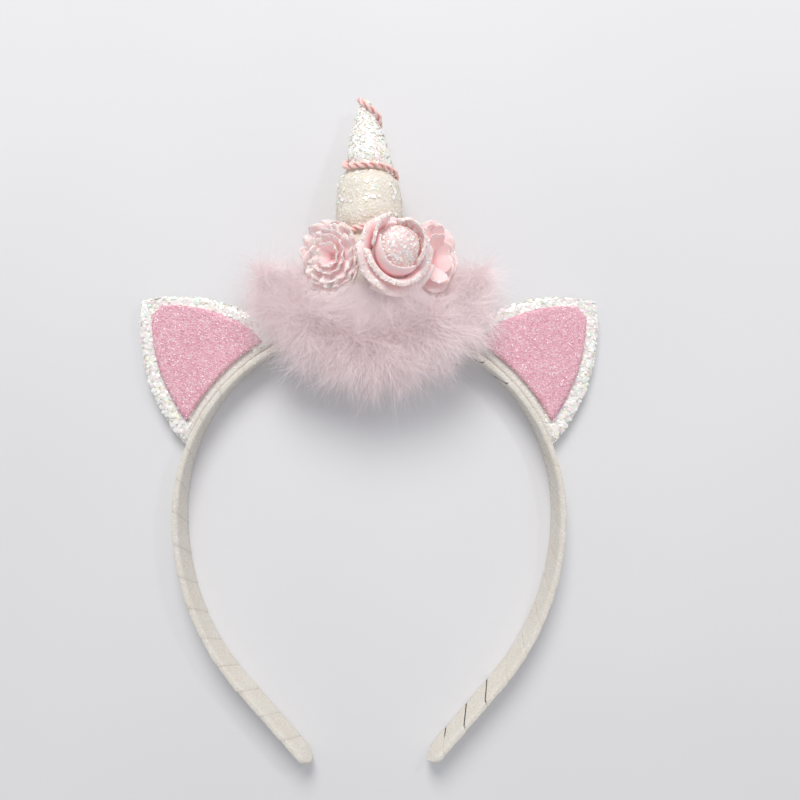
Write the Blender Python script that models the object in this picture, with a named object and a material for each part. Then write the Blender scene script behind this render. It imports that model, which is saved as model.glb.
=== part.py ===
"""Unicorn horn headband for a child, lying flat on its back edge.

A flexible ribbon-wrapped hoop carries a stuffed cone horn on its crown, cinched
by a spiral cord, with two felt ears, three fabric flowers and a fluffy feather
trim at the foot of the horn.  Metres.  The hoop lies in the XY plane, +Y points
from its open ends to the horn's tip, and +Z is the side that faces forwards
when it is worn.  The origin is on the lower edge of the hoop, at its crown.
"""
import math

import bmesh
import bpy
import numpy as np
from mathutils import Vector

# Clearances
GAP = 0.0003              # between pieces that touch
FLOOR_GAP = 0.0006        # under soft pieces

# Hoop
HOOP_RADIUS = 0.0629      # middle of the band's wall, from the crown to the widest points
HOOP_LOW_RADIUS = 0.084   # the same below the widest points
HOOP_WALL = 0.0022
HOOP_WIDTH = 0.010        # across the band, from back to front
HOOP_CHAMFER = 0.0005
HOOP_TUCK = math.radians(41)   # how far the low arc turns in
LEG_LENGTH = 0.0340       # straight stretch after the arcs
LEG_TWIST = 0.0016        # how much further in the legs' back edge lies than their front edge
END_ROUND = 0.0045        # rounded ends of the legs
END_WALL = 0.0013         # thinner than the rest of the band

# Horn
HORN_LENGTH = 0.0718
HORN_BASE_RADIUS = 0.0116
HORN_LEAN = 0.0016        # sideways bend of the tip
HORN_DROOP = 0.0068       # how far the axis comes down at the tip
HORN_CINCH = 0.0017       # how deep the cord pulls the stuffing in
CINCH_WIDTH = 0.0026
HORN_STEPS = 52
HORN_SIDES = 20

# Cord wound round the horn
CORD_DIAMETER = 0.0019
CORD_GAP = 0.0006
CORD_PITCH = 0.0190
CORD_TURNS = 2.9
CORD_START = 0.0010       # from the horn's tip
CORD_SLIP = 0.75          # how much lower it lies on the horn's left, over the horn's radius
CORD_START_ANGLE = math.radians(-25)
CORD_POINTS = 79
CORD_CORRECTIONS = 8

# Ears
EAR_BASE = 0.0458         # along the hoop
EAR_HEIGHT = 0.0378
EAR_FROM_CROWN = 0.0307   # along the hoop, from its crown
EAR_SHELL_WALL = 0.0018
EAR_INNER_WALL = 0.0014
EAR_FOOT_BORDER = 0.0030  # shell that shows between the hoop and the inner panel
EAR_UPPER_BORDER = 0.0031     # and at its upper edge, its lower edge and its tip
EAR_LOWER_BORDER = 0.0047
EAR_TIP_BORDER = 0.0048
EAR_SHELL_BACK = 0.0030   # height of the shell's back face
UPPER_SLANT = 1.12        # border along the hoop over border square to the edge
LOWER_SLANT = 1.18
EAR_SAMPLES = 10          # points across an ear

# Flowers: radius along X and Y, and height
ROSE_RADIUS = 0.0132
ROSE_HEIGHT = 0.0110
FRILL_WIDTH = 0.0098
FRILL_LENGTH = 0.0122
FRILL_HEIGHT = 0.0080
BLOOM_WIDTH = 0.0084
BLOOM_LENGTH = 0.0130
BLOOM_HEIGHT = 0.0080
FLOWER_SAMPLES = 30
FLOWERS_UP_HORN = 0.0186      # from the horn's foot to the flowers' middles
ROSE_AROUND = math.radians(23)      # round the horn from its front, towards +X
ROSE_STAND = 0.0006           # between the horn and the flower's foot
ROSE_NOD = 0.45               # shift towards the horn's tip over height
ROSE_DROP = 0.0028            # of its foot, nearer the hoop than the other flowers' middles
ROSE_RUFFLE = 0.03            # waves of the rims, as shares of the flowers' heights
FRILL_AROUND = math.radians(-62)
FRILL_LEAN = math.radians(-45)
FRILL_STAND = 0.0007
FRILL_RUFFLE = 0.10
BLOOM_LEAN = math.radians(20)
BLOOM_OVER_TRIM = 0.0004      # between the trim's core and the flower's foot
BLOOM_RUFFLE = 0.06
ROSE_WAVES, FRILL_WAVES, BLOOM_WAVES = 5, 10, 5

# Feather trim: a padded core in a loop round the foot of the horn, and its locks
TRIM_SHIFT = 0.0015           # of its middle, towards +X
TRIM_LOOP_Y = 0.0140          # middle of the loop
TRIM_BESIDE_HORN = 0.0059     # room between the horn and the core's sides
TRIM_BELOW_HORN = 0.0028      # room between the horn's foot and the core
TRIM_LOOP_END = math.radians(112)   # where the loop's ends are, from its lowest point
TRIM_CORE_DEPTH = 0.0046      # half, along Z
TRIM_CORE_HEIGHT = 0.0054     # half, in the hoop's plane, before the crown
TRIM_SIDE_HEIGHT = 0.0095     # the same beside the horn
TRIM_END_LEVEL = 0.0068       # height of the core's middle at its ends
TRIM_WIDEN = (0.35, 0.80)     # shares of the loop between which the core widens
TRIM_FALL = (0.42, 0.75)      # shares of the loop between which the core comes down
TRIM_HUB_Y = 0.0060           # point that the locks spread from
TRIM_STEPS = 17
TRIM_SIDES = 10
TRIM_SIDE = 0.0440            # reach of the locks from that point
TRIM_DOWN = 0.0320
TRIM_UP = 0.0240
TRIM_LIFT = 0.0036            # how far a lock rises from the core before it falls
TRIM_FLOOR = 0.0020           # height of the lowest lock's middle
TRIM_OVER_HOOP = 0.0026       # clearance of a lock's middle over the band

# Outline of an ear: at a share of its height, where its two edges are as
# shares of its base
EAR_OUTLINE = (
    # height, upper edge, lower edge
    (0.00, 0.000, 1.000),
    (0.15, 0.023, 0.945),
    (0.32, 0.071, 0.862),
    (0.47, 0.140, 0.790),
    (0.62, 0.213, 0.709),
    (0.77, 0.298, 0.620),
    (0.89, 0.378, 0.548),
    (0.96, 0.428, 0.505),
    (1.00, 0.462, 0.478),
)

# Horn's outline before the cord cinches it: radius as a share of the base's
HORN_OUTLINE = (
    # distance from base, radius
    (0.00, 0.84),
    (0.07, 1.00),
    (0.30, 0.99),
    (0.50, 0.92),
    (0.60, 0.86),
    (0.69, 0.65),
    (0.79, 0.52),
    (0.88, 0.35),
    (0.96, 0.18),
    (1.00, 0.08),
)

# Turned outline of the rose from its heart outwards and down to its foot, as
# shares of its radius and height.  Petal rims are scalloped, each ring with its
# own number of petals, turned by a share of one petal.
ROSE_OUTLINE = (
    # radius, height, scallop, petals, turn
    (0.10, 1.00, 0.00, 3, 0.0),
    (0.18, 0.93, 0.10, 3, 0.0),
    (0.20, 0.66, 0.00, 3, 0.0),
    (0.27, 0.66, 0.00, 3, 0.0),
    (0.36, 0.93, 0.16, 3, 0.3),
    (0.42, 0.88, 0.16, 3, 0.3),
    (0.41, 0.52, 0.00, 3, 0.3),
    (0.50, 0.50, 0.00, 4, 0.1),
    (0.64, 0.80, 0.18, 4, 0.1),
    (0.71, 0.74, 0.18, 4, 0.1),
    (0.64, 0.40, 0.00, 4, 0.1),
    (0.74, 0.36, 0.00, 5, 0.4),
    (0.93, 0.60, 0.20, 5, 0.4),
    (1.00, 0.52, 0.20, 5, 0.4),
    (0.80, 0.22, 0.06, 5, 0.4),
    (0.40, 0.00, 0.00, 5, 0.4),
)

FRILL_OUTLINE = (
    # radius, height, scallop, petals, turn
    (0.08, 0.80, 0.00, 5, 0.0),
    (0.16, 0.50, 0.00, 5, 0.0),
    (0.24, 0.50, 0.00, 5, 0.0),
    (0.52, 1.00, 0.26, 5, 0.0),
    (0.58, 0.90, 0.26, 5, 0.0),
    (0.42, 0.40, 0.00, 5, 0.0),
    (0.52, 0.34, 0.00, 6, 0.5),
    (0.94, 0.72, 0.20, 6, 0.5),
    (1.00, 0.62, 0.20, 6, 0.5),
    (0.62, 0.14, 0.00, 6, 0.5),
    (0.34, 0.00, 0.00, 6, 0.5),
)

BLOOM_OUTLINE = (
    # radius, height, scallop, petals, turn
    (0.08, 0.86, 0.00, 5, 0.0),
    (0.18, 0.60, 0.00, 5, 0.0),
    (0.30, 0.62, 0.00, 5, 0.0),
    (0.60, 1.00, 0.22, 5, 0.2),
    (0.66, 0.90, 0.22, 5, 0.2),
    (0.46, 0.46, 0.00, 5, 0.2),
    (0.58, 0.40, 0.00, 5, 0.7),
    (0.95, 0.78, 0.24, 5, 0.7),
    (1.00, 0.68, 0.24, 5, 0.7),
    (0.66, 0.18, 0.04, 5, 0.7),
    (0.34, 0.00, 0.00, 5, 0.7),
)

HOOP_OUTER = HOOP_RADIUS + HOOP_WALL / 2
HOOP_CENTRE_Y = -HOOP_RADIUS
HOOP_QUARTER = HOOP_RADIUS * math.pi / 2
LOW_ARC = HOOP_LOW_RADIUS * HOOP_TUCK
CORD_RADIUS = CORD_DIAMETER / 2
TRIM_LOOP_SIDE = HORN_BASE_RADIUS + TRIM_BESIDE_HORN + TRIM_SIDE_HEIGHT
TRIM_LOOP_DOWN = TRIM_LOOP_Y + TRIM_CORE_HEIGHT - HOOP_WALL / 2 - GAP + TRIM_BELOW_HORN
EAR_INNER_BACK = EAR_SHELL_BACK + EAR_SHELL_WALL + GAP


def clear_scene():
    for old in list(bpy.data.objects):
        bpy.data.objects.remove(old, do_unlink=True)


def material(name, colour, roughness, metallic=0.0):
    finish = bpy.data.materials.new(name)
    finish.use_nodes = True
    shader = finish.node_tree.nodes["Principled BSDF"]
    shader.inputs["Base Color"].default_value = (*colour, 1.0)
    shader.inputs["Roughness"].default_value = roughness
    shader.inputs["Metallic"].default_value = metallic
    return finish


def add_object(name, mesh, finish, parent):
    mesh.materials.append(finish)
    thing = bpy.data.objects.new(name, mesh)
    bpy.context.scene.collection.objects.link(thing)
    thing.parent = parent
    return thing


def lofted_mesh(name, rings, finish_form=None):
    """Closed skin through rings with an even number of points, capped by rungs across each end."""
    rings = np.asarray(rings, dtype=float)
    sides = rings.shape[1]
    form = bmesh.new()
    rows = [[form.verts.new(point) for point in ring] for ring in rings]
    for lower, upper in zip(rows, rows[1:]):
        for side in range(sides):
            after = (side + 1) % sides
            form.faces.new((lower[side], lower[after], upper[after], upper[side]))
    for row in (rows[0], rows[-1]):
        for near in range(sides // 2 - 1):
            far = sides - 1 - near
            form.faces.new((row[near], row[near + 1], row[far - 1], row[far]))
    bmesh.ops.recalc_face_normals(form, faces=form.faces)
    if finish_form:
        finish_form(form)
    mesh = bpy.data.meshes.new(name)
    form.to_mesh(mesh)
    form.free()
    mesh.shade_smooth()
    mesh.set_sharp_from_angle(angle=math.radians(40))
    return mesh


def columns(table):
    return np.array(table, dtype=float).T


def passed(share, stretch):
    """How much of a stretch lies behind a share: 0 before it, 1 after it."""
    return np.clip((share - stretch[0]) / (stretch[1] - stretch[0]), 0, 1)


def hoop_path(distance):
    """Point and outward direction on the hoop, at a signed distance along it from the crown."""
    side = math.copysign(1.0, distance)
    run = abs(distance)
    quarter = min(run, HOOP_QUARTER) / HOOP_RADIUS
    angle = quarter + min(max(run - HOOP_QUARTER, 0.0), LOW_ARC) / HOOP_LOW_RADIUS
    outward = np.array([math.sin(angle), math.cos(angle)])
    along = np.array([math.cos(angle), -math.sin(angle)])
    at_quarter = np.array([math.sin(quarter), math.cos(quarter)])
    point = HOOP_RADIUS * at_quarter + HOOP_LOW_RADIUS * (outward - at_quarter)
    point = point + max(run - HOOP_QUARTER - LOW_ARC, 0.0) * along
    mirror = np.array([side, 1.0])
    return np.array([0.0, HOOP_CENTRE_Y]) + mirror * point, mirror * outward


def hoop_rings():
    """Chamfered oblong section carried along the hoop: it twists from the ears' feet to the
    widest points, and narrows to thin rounded ends."""
    arcs = HOOP_QUARTER + LOW_ARC
    total = arcs + LEG_LENGTH
    half = list(np.linspace(0.0, arcs, 27)) + [arcs + LEG_LENGTH / 2]
    twisting = (EAR_FROM_CROWN + EAR_BASE / 2, HOOP_QUARTER)
    turned_in = np.linspace(0.0, 0.9 * math.pi / 2, 5)
    half += [total - END_ROUND + END_ROUND * math.sin(turn) for turn in turned_in]
    stations = [-run for run in reversed(half[1:])] + half
    rings = []
    for run in stations:
        point, outward = hoop_path(run)
        into_end = max(abs(run) - (total - END_ROUND), 0.0) / END_ROUND
        narrowing = HOOP_WIDTH / 2 * (1 - math.sqrt(1 - into_end ** 2))
        wall, edge = (HOOP_WALL + (END_WALL - HOOP_WALL) * into_end) / 2, HOOP_CHAMFER
        twist = LEG_TWIST * passed(abs(run), twisting)
        low, high = narrowing, HOOP_WIDTH - narrowing
        section = ((-wall + edge, low), (wall - edge, low), (wall, low + edge), (wall, high - edge),
                   (wall - edge, high), (-wall + edge, high), (-wall, high - edge), (-wall, low + edge))
        rings.append([(*(point + (out - twist * (1 - height / HOOP_WIDTH)) * outward), height)
                      for out, height in section])
    return rings


def horn_radius(distance):
    shares, radii = columns(HORN_OUTLINE)
    return HORN_BASE_RADIUS * np.interp(distance / HORN_LENGTH, shares, radii)


def horn_axis(distance):
    """Axis point: the cone's foot lies just over the floor and its tip droops and leans to -X."""
    share = distance / HORN_LENGTH
    x = -HORN_LEAN * share ** 3
    y = HOOP_WALL / 2 + GAP + distance
    z = FLOOR_GAP + HORN_BASE_RADIUS + CORD_DIAMETER * share - HORN_DROOP * share ** 2.5
    return np.stack([x, y, z], axis=-1)


def cord_slip(distance, angle):
    """Extra run down the horn: none on its right, a share of its radius on its left."""
    return CORD_SLIP * horn_radius(distance) * (1 - np.sin(angle)) / 2


def horn_surface_radius(distance, angle):
    """Cone radius less a soft groove along the cord's spiral."""
    run = HORN_LENGTH - distance - CORD_START - cord_slip(distance, angle)
    turns = run / CORD_PITCH - (angle - CORD_START_ANGLE) / math.tau
    last = np.clip(np.round(turns), 0, CORD_TURNS)
    off = (turns - last) * CORD_PITCH
    fade = np.clip(horn_radius(distance) / (4 * HORN_CINCH), 0, 1)
    return horn_radius(distance) - fade * HORN_CINCH * np.exp(-(off / CINCH_WIDTH) ** 2)


def round_horn(distance, angle, radius):
    around = np.stack([np.sin(angle), np.zeros_like(angle), np.cos(angle)], axis=-1)
    return horn_axis(distance) + radius[..., None] * around


def horn_rings():
    shares = np.linspace(0, 1, HORN_STEPS) ** 0.92
    angles = CORD_START_ANGLE + np.linspace(0, math.tau, HORN_SIDES, endpoint=False)
    distance, angle = np.meshgrid(shares * HORN_LENGTH, angles, indexing="ij")
    return round_horn(distance, angle, horn_surface_radius(distance, angle))


def cord_points():
    """Centre line of the cord: a spiral that widens with the horn.  Its slip depends on where
    it lies, so the distance is found by repeated correction."""
    angle = CORD_START_ANGLE + np.linspace(0, CORD_TURNS * math.tau, CORD_POINTS)
    even = HORN_LENGTH - CORD_START - CORD_PITCH * (angle - CORD_START_ANGLE) / math.tau
    distance = even
    for _ in range(CORD_CORRECTIONS):
        distance = even - cord_slip(distance, angle)
    radius = horn_surface_radius(distance, angle) + CORD_RADIUS + CORD_GAP
    return round_horn(distance, angle, radius)


def cord_mesh(name):
    line = bpy.data.curves.new(name, "CURVE")
    line.dimensions = "3D"
    line.bevel_depth = CORD_RADIUS
    line.bevel_resolution = 1
    line.use_fill_caps = True
    spline = line.splines.new("POLY")
    points = cord_points()
    spline.points.add(len(points) - 1)
    for place, point in zip(spline.points, points):
        place.co = (*point, 1.0)
    return line


def ear_edges(out):
    """Angles of an ear's two edges, from the crown, at a height over the hoop."""
    heights, upper, lower = columns(EAR_OUTLINE)
    shares = np.array([np.interp(out / EAR_HEIGHT, heights, edge) for edge in (upper, lower)])
    return (EAR_FROM_CROWN + shares * EAR_BASE) / HOOP_OUTER


def ear_rings(side, levels, back, wall, upper_border=0.0, lower_border=0.0):
    """Flat panel between two edges; a border is cut off each, square to its slant."""
    rings = []
    for out in levels:
        radius = HOOP_OUTER + GAP + out
        first, last = ear_edges(out)
        first += UPPER_SLANT * upper_border / radius
        last -= LOWER_SLANT * lower_border / radius
        if last - first < 2 * GAP / radius:
            middle = (first + last) / 2
            first, last = middle - GAP / radius, middle + GAP / radius
        across = np.linspace(first, last, EAR_SAMPLES)
        x, y = side * radius * np.sin(across), radius * np.cos(across)
        front = np.stack([x, y, np.full_like(x, back + wall)], axis=-1)
        rear = np.stack([x, y, np.full_like(x, back)], axis=-1)
        rings.append(np.concatenate([front, rear[::-1]]))
    return rings


def ear_pieces(side, word, parent, shell_finish, inner_finish):
    heights = columns(EAR_OUTLINE)[0] * EAR_HEIGHT
    shell = lofted_mesh(f"ear_{word}_shell",
                        ear_rings(side, heights, EAR_SHELL_BACK, EAR_SHELL_WALL))
    inner_levels = np.linspace(EAR_FOOT_BORDER, EAR_HEIGHT - EAR_TIP_BORDER, 8)
    inner = lofted_mesh(f"ear_{word}_inner",
                        ear_rings(side, inner_levels, EAR_INNER_BACK, EAR_INNER_WALL,
                                  EAR_UPPER_BORDER, EAR_LOWER_BORDER))
    for mesh, finish in ((shell, shell_finish), (inner, inner_finish)):
        panel = add_object(mesh.name, mesh, finish, parent)
        panel.location = (0.0, HOOP_CENTRE_Y, 0.0)


def flower_rings(table, width, length, height, ruffle, waves, nod=0.0):
    """Nested petal cups turned round an axis: rims scalloped into petals and ruffled,
    and shifted towards the horn's tip as they rise."""
    radius, level, scallop, petals, turn = (column[:, None] for column in columns(table))
    angle = np.linspace(0, math.tau, FLOWER_SAMPLES, endpoint=False)[None, :]
    petal = np.abs(np.cos(petals / 2 * angle - math.pi * turn)) ** 0.7
    rim = scallop > 0
    reach = radius * (1 - scallop * (1 - petal))
    rise = level * (1 - 0.5 * scallop * (1 - petal)) + rim * ruffle * np.sin(waves * angle + 2 * turn)
    return np.stack([width * reach * np.cos(angle),
                     length * reach * np.sin(angle) + nod * height * rise,
                     height * rise], axis=-1)


def flower(name, rings, place, lean, finish, parent):
    piece = add_object(name, lofted_mesh(name, rings), finish, parent)
    piece.location = place
    piece.rotation_euler = (0.0, lean, 0.0)


def on_horn(around, stand, drop=0.0):
    """Place of a flower's foot: off the horn's skin, at an angle round it from its front."""
    middle = horn_axis(FLOWERS_UP_HORN - drop)
    out = horn_radius(FLOWERS_UP_HORN - drop) + stand
    return middle + out * np.array([math.sin(around), 0.0, math.cos(around)])


def on_trim():
    """Place of the foot of the flower that rests on the inner edge of the trim's side."""
    x = TRIM_SHIFT + TRIM_LOOP_SIDE - TRIM_SIDE_HEIGHT
    level = TRIM_END_LEVEL + TRIM_CORE_DEPTH + BLOOM_OVER_TRIM
    return np.array([x, horn_axis(FLOWERS_UP_HORN)[1], level])


def trim_rings():
    """Padded core: an oval section carried along a loop that starts high over the crown
    and comes down beside the horn."""
    turn = np.linspace(-TRIM_LOOP_END, TRIM_LOOP_END, TRIM_STEPS)
    around = np.linspace(0, math.tau, TRIM_SIDES, endpoint=False)
    turn, angle = np.meshgrid(turn, around, indexing="ij")
    share = np.abs(turn) / TRIM_LOOP_END
    swell = np.sqrt(1 - (0.9 * share) ** 6)
    over_band = HOOP_WIDTH + GAP + TRIM_CORE_DEPTH
    level = over_band + (TRIM_END_LEVEL - over_band) * passed(share, TRIM_FALL) ** 1.3
    beside = passed(share, TRIM_WIDEN)
    half_height = TRIM_CORE_HEIGHT + (TRIM_SIDE_HEIGHT - TRIM_CORE_HEIGHT) * beside
    outward = half_height * swell * np.sin(angle)
    x = TRIM_SHIFT + (TRIM_LOOP_SIDE + outward) * np.sin(turn)
    y = TRIM_LOOP_Y - (TRIM_LOOP_DOWN + outward) * np.cos(turn)
    z = level + TRIM_CORE_DEPTH * swell * np.cos(angle)
    return np.stack([x, y, z], axis=-1)


def trim_reach(heading):
    """Distance from the hub to the feathers' outline, an egg with its flatter half up."""
    across, up = math.cos(heading), math.sin(heading)
    tall = TRIM_UP if up > 0 else TRIM_DOWN
    return 1 / math.hypot(across / TRIM_SIDE, up / tall)


def lock_target(root, normal, hub, share, spread):
    """Middle of a lock at a share of its length: up off the core, then out and down."""
    heading = math.atan2(root.y - hub.y, root.x - hub.x) + 0.25 * (spread - 0.5)
    reach = trim_reach(heading) * (0.84 + 0.16 * spread)
    start = math.hypot(root.x - hub.x, root.y - hub.y)
    run = start + (reach - start) * share
    rise = TRIM_LIFT * math.sin(math.pi * share) * max(normal.z, 0.2)
    before_crown = abs(root.x - hub.x) < 0.5 * TRIM_LOOP_SIDE
    lowest = TRIM_FLOOR if before_crown else HOOP_WIDTH + TRIM_OVER_HOOP
    end_z = lowest + (root.z - lowest) * (0.10 + 0.50 * spread)
    level = root.z + (end_z - root.z) * share ** 2 + rise
    return Vector((hub.x + run * math.cos(heading), hub.y + run * math.sin(heading), level))


def draw_locks(form):
    """Every free face of the core is drawn out into one tapering lock of feathers."""
    hub = Vector((TRIM_SHIFT, TRIM_HUB_Y, 0.0))
    form.faces.ensure_lookup_table()
    for number, root in enumerate(list(form.faces)):
        centre, normal = root.calc_center_median(), root.normal.copy()
        outward = Vector((centre.x - hub.x, centre.y - TRIM_LOOP_Y, 0.0)).normalized()
        under_flower = centre.y > hub.y and normal.dot(outward) < 0.45
        if normal.z < -0.35 or normal.dot(outward) < -0.3 or under_flower or number % 2:
            continue
        spread = (number * 0.618) % 1.0
        tip = root
        for share, width in ((0.30, 1.00), (0.65, 0.85), (1.00, 0.40)):
            middle = tip.calc_center_median()
            tip = bmesh.ops.extrude_discrete_faces(form, faces=[tip])["faces"][0]
            target = lock_target(centre, normal, hub, share, spread)
            for vert in tip.verts:
                vert.co = target + width * (vert.co - middle)


def main():
    clear_scene()
    ribbon = material("cream_ribbon", (0.66, 0.60, 0.50), 0.55)
    horn_felt = material("cream_glitter_felt", (0.72, 0.66, 0.56), 0.45)
    cord_pink = material("pink_cord", (0.72, 0.30, 0.36), 0.6)
    shell_felt = material("white_glitter_felt", (0.80, 0.79, 0.74), 0.4)
    inner_felt = material("pink_glitter_felt", (0.74, 0.40, 0.46), 0.45)
    satin = material("rose_satin", (0.78, 0.50, 0.52), 0.4)
    chiffon = material("pale_chiffon", (0.82, 0.64, 0.64), 0.6)
    feather = material("dusty_pink_feather", (0.70, 0.52, 0.54), 0.9)

    headband = bpy.data.objects.new("headband", None)
    bpy.context.scene.collection.objects.link(headband)

    add_object("band", lofted_mesh("band", hoop_rings()), ribbon, headband)
    add_object("horn", lofted_mesh("horn", horn_rings()), horn_felt, headband)
    add_object("horn_cord", cord_mesh("horn_cord"), cord_pink, headband)
    for side, word in ((-1, "left"), (1, "right")):
        ear_pieces(side, word, headband, shell_felt, inner_felt)

    rose = flower_rings(ROSE_OUTLINE, ROSE_RADIUS, ROSE_RADIUS, ROSE_HEIGHT,
                        ROSE_RUFFLE, ROSE_WAVES, ROSE_NOD)
    rose_foot = on_horn(ROSE_AROUND, ROSE_STAND, ROSE_DROP)
    flower("rose", rose, rose_foot, ROSE_AROUND / 2, satin, headband)
    frill = flower_rings(FRILL_OUTLINE, FRILL_WIDTH, FRILL_LENGTH, FRILL_HEIGHT,
                         FRILL_RUFFLE, FRILL_WAVES)
    flower("flower_left", frill, on_horn(FRILL_AROUND, FRILL_STAND), FRILL_LEAN, chiffon, headband)
    bloom = flower_rings(BLOOM_OUTLINE, BLOOM_WIDTH, BLOOM_LENGTH, BLOOM_HEIGHT,
                         BLOOM_RUFFLE, BLOOM_WAVES)
    flower("flower_right", bloom, on_trim(), BLOOM_LEAN, chiffon, headband)

    add_object("fur_trim", lofted_mesh("fur_trim", trim_rings(), draw_locks), feather, headband)


main()
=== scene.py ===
# %% [markdown]
# # A unicorn horn headband in numpy and Blender
# The headband lies flat on a pale table.  Its slim hoop, horn, ears, flowers and
# feather trim come in as plain solids that hold their true sizes and places.
# This lesson gives each of them its real surface: wound ribbon, glitter felt,
# twisted cord, satin petals and thousands of feather barbs.

# %% Load the solids and keep their outline box
import math

import bpy
import numpy as np
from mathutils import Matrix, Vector


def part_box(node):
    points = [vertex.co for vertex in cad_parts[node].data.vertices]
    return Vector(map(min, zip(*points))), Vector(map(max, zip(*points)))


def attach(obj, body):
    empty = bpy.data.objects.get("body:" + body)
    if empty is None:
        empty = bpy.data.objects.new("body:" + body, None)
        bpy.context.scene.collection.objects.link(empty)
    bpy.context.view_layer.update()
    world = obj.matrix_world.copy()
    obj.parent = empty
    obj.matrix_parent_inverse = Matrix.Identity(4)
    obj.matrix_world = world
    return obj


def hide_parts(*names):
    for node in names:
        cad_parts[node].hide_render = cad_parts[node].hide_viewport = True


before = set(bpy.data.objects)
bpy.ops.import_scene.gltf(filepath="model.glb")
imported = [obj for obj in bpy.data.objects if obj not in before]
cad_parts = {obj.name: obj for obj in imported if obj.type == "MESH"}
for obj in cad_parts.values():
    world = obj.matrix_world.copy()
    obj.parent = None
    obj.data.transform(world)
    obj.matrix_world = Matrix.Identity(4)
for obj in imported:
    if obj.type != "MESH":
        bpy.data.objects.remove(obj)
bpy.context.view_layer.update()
MM = 0.001
print("solids:", sorted(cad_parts))

# %% [markdown]
# Every new piece is one mesh made from arrays.  Corners go in with foreach_set,
# and faces as two lists of corner numbers, one of quads and one of triangles.
# Colours and other values that change over a surface are stored per corner.

# %% A mesh from arrays
def piece(name, corners, quads, triangles, finish, values=None, smooth=True):
    """Mesh object at the origin: corners (n, 3), quads (q, 4), triangles (t, 3)."""
    quads = np.asarray(quads, dtype=np.int32).reshape(-1, 4)
    triangles = np.asarray(triangles, dtype=np.int32).reshape(-1, 3)
    mesh = bpy.data.meshes.new(name)
    mesh.vertices.add(len(corners))
    mesh.vertices.foreach_set("co", np.asarray(corners, dtype=np.float32).ravel())
    mesh.loops.add(quads.size + triangles.size)
    mesh.loops.foreach_set("vertex_index", np.concatenate([quads.ravel(), triangles.ravel()]))
    sizes = np.concatenate([np.full(len(quads), 4), np.full(len(triangles), 3)]).astype(np.int32)
    mesh.polygons.add(len(sizes))
    mesh.polygons.foreach_set("loop_start", np.concatenate([[0], np.cumsum(sizes)[:-1]]).astype(np.int32))
    mesh.polygons.foreach_set("loop_total", sizes)
    for key, value in (values or {}).items():
        value = np.asarray(value, dtype=np.float32)
        kind, field = ("FLOAT_COLOR", "color") if value.ndim == 2 else ("FLOAT", "value")
        mesh.attributes.new(key, kind, "POINT").data.foreach_set(field, value.ravel())
    mesh.update(calc_edges=True)
    mesh.polygons.foreach_set("use_smooth", np.full(len(sizes), smooth))
    mesh.materials.append(finish)
    thing = bpy.data.objects.new(name, mesh)
    bpy.context.scene.collection.objects.link(thing)
    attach(thing, "root")
    print(f"{name}: {2 * len(quads) + len(triangles)} triangles")
    return thing


def grid_quads(rows, columns, around=False, start=0):
    """Corner numbers of a grid's quads; around joins the last column to the first."""
    row = np.arange(rows - 1)[:, None] * columns
    column = np.arange(columns if around else columns - 1)[None, :]
    after = (column + 1) % columns
    return start + np.stack([row + column, row + after, row + columns + after,
                             row + columns + column], axis=-1).reshape(-1, 4)


def unit(vectors):
    return vectors / np.maximum(np.linalg.norm(vectors, axis=-1, keepdims=True), 1e-12)


# %% [markdown]
# Materials share a small kit: a Principled shader, noise and cell textures on
# object coordinates, and ramps that turn them into colour, roughness and bump.

# %% Material kit
def new_finish(name, colour, roughness, **sockets):
    finish = bpy.data.materials.new(name)
    finish.use_nodes = True
    shader = finish.node_tree.nodes["Principled BSDF"]
    shader.inputs["Base Color"].default_value = (*colour, 1)
    shader.inputs["Roughness"].default_value = roughness
    for socket, value in sockets.items():
        shader.inputs[socket.replace("_", " ")].default_value = value
    return finish, shader


def node(finish, kind, links=None, **settings):
    """Add a node; settings whose names are input sockets set those, the rest are properties."""
    made = finish.node_tree.nodes.new(kind)
    for key, value in settings.items():
        label = key.replace("_", " ")
        if label in made.inputs:
            made.inputs[label].default_value = value
        else:
            setattr(made, key, value)
    for socket, source in (links or {}).items():
        finish.node_tree.links.new(source, made.inputs[socket])
    return made


def object_point(finish):
    return node(finish, "ShaderNodeTexCoord").outputs["Object"]


def stored(finish, key):
    return node(finish, "ShaderNodeAttribute", attribute_name=key)


def ramp(finish, source, stops):
    """Colour ramp through (position, colour) stops."""
    made = node(finish, "ShaderNodeValToRGB", {"Fac": source})
    elements = made.color_ramp.elements
    while len(elements) < len(stops):
        elements.new(0.5)
    for element, (position, colour) in zip(elements, stops):
        element.position = position
        element.color = (*colour, 1)
    return made.outputs["Color"]


def mixed(finish, amount, low, high, blend="MIX"):
    """Blend two colours; each is a socket or a plain colour."""
    made = node(finish, "ShaderNodeMix", data_type="RGBA", blend_type=blend)
    for index, value in ((0, amount), (6, low), (7, high)):
        if isinstance(value, (tuple, float)):
            made.inputs[index].default_value = (*value, 1) if isinstance(value, tuple) else value
        else:
            finish.node_tree.links.new(value, made.inputs[index])
    return made.outputs[2]


def bumped(finish, shader, height, distance, strength=0.5):
    bump = node(finish, "ShaderNodeBump", {"Height": height}, Distance=distance, Strength=strength)
    finish.node_tree.links.new(bump.outputs["Normal"], shader.inputs["Normal"])


def sparkle_cells(finish, scale):
    """Random number of each cell, and the distance to the cell's middle."""
    cells = node(finish, "ShaderNodeTexVoronoi", {"Vector": object_point(finish)}, Scale=scale)
    lone = node(finish, "ShaderNodeSeparateColor", {"Color": cells.outputs["Color"]})
    return lone.outputs["Red"], lone.outputs["Green"], cells.outputs["Distance"]


# %% [markdown]
# ## Shapes that close on themselves
# Real felt, petals and cords have two sides and an end, so no mesh here is an
# open skin.  A tube is a grid of rings with its ends closed, and a thin sheet is
# one grid pushed both ways along its normals, with its rims joined.

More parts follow.
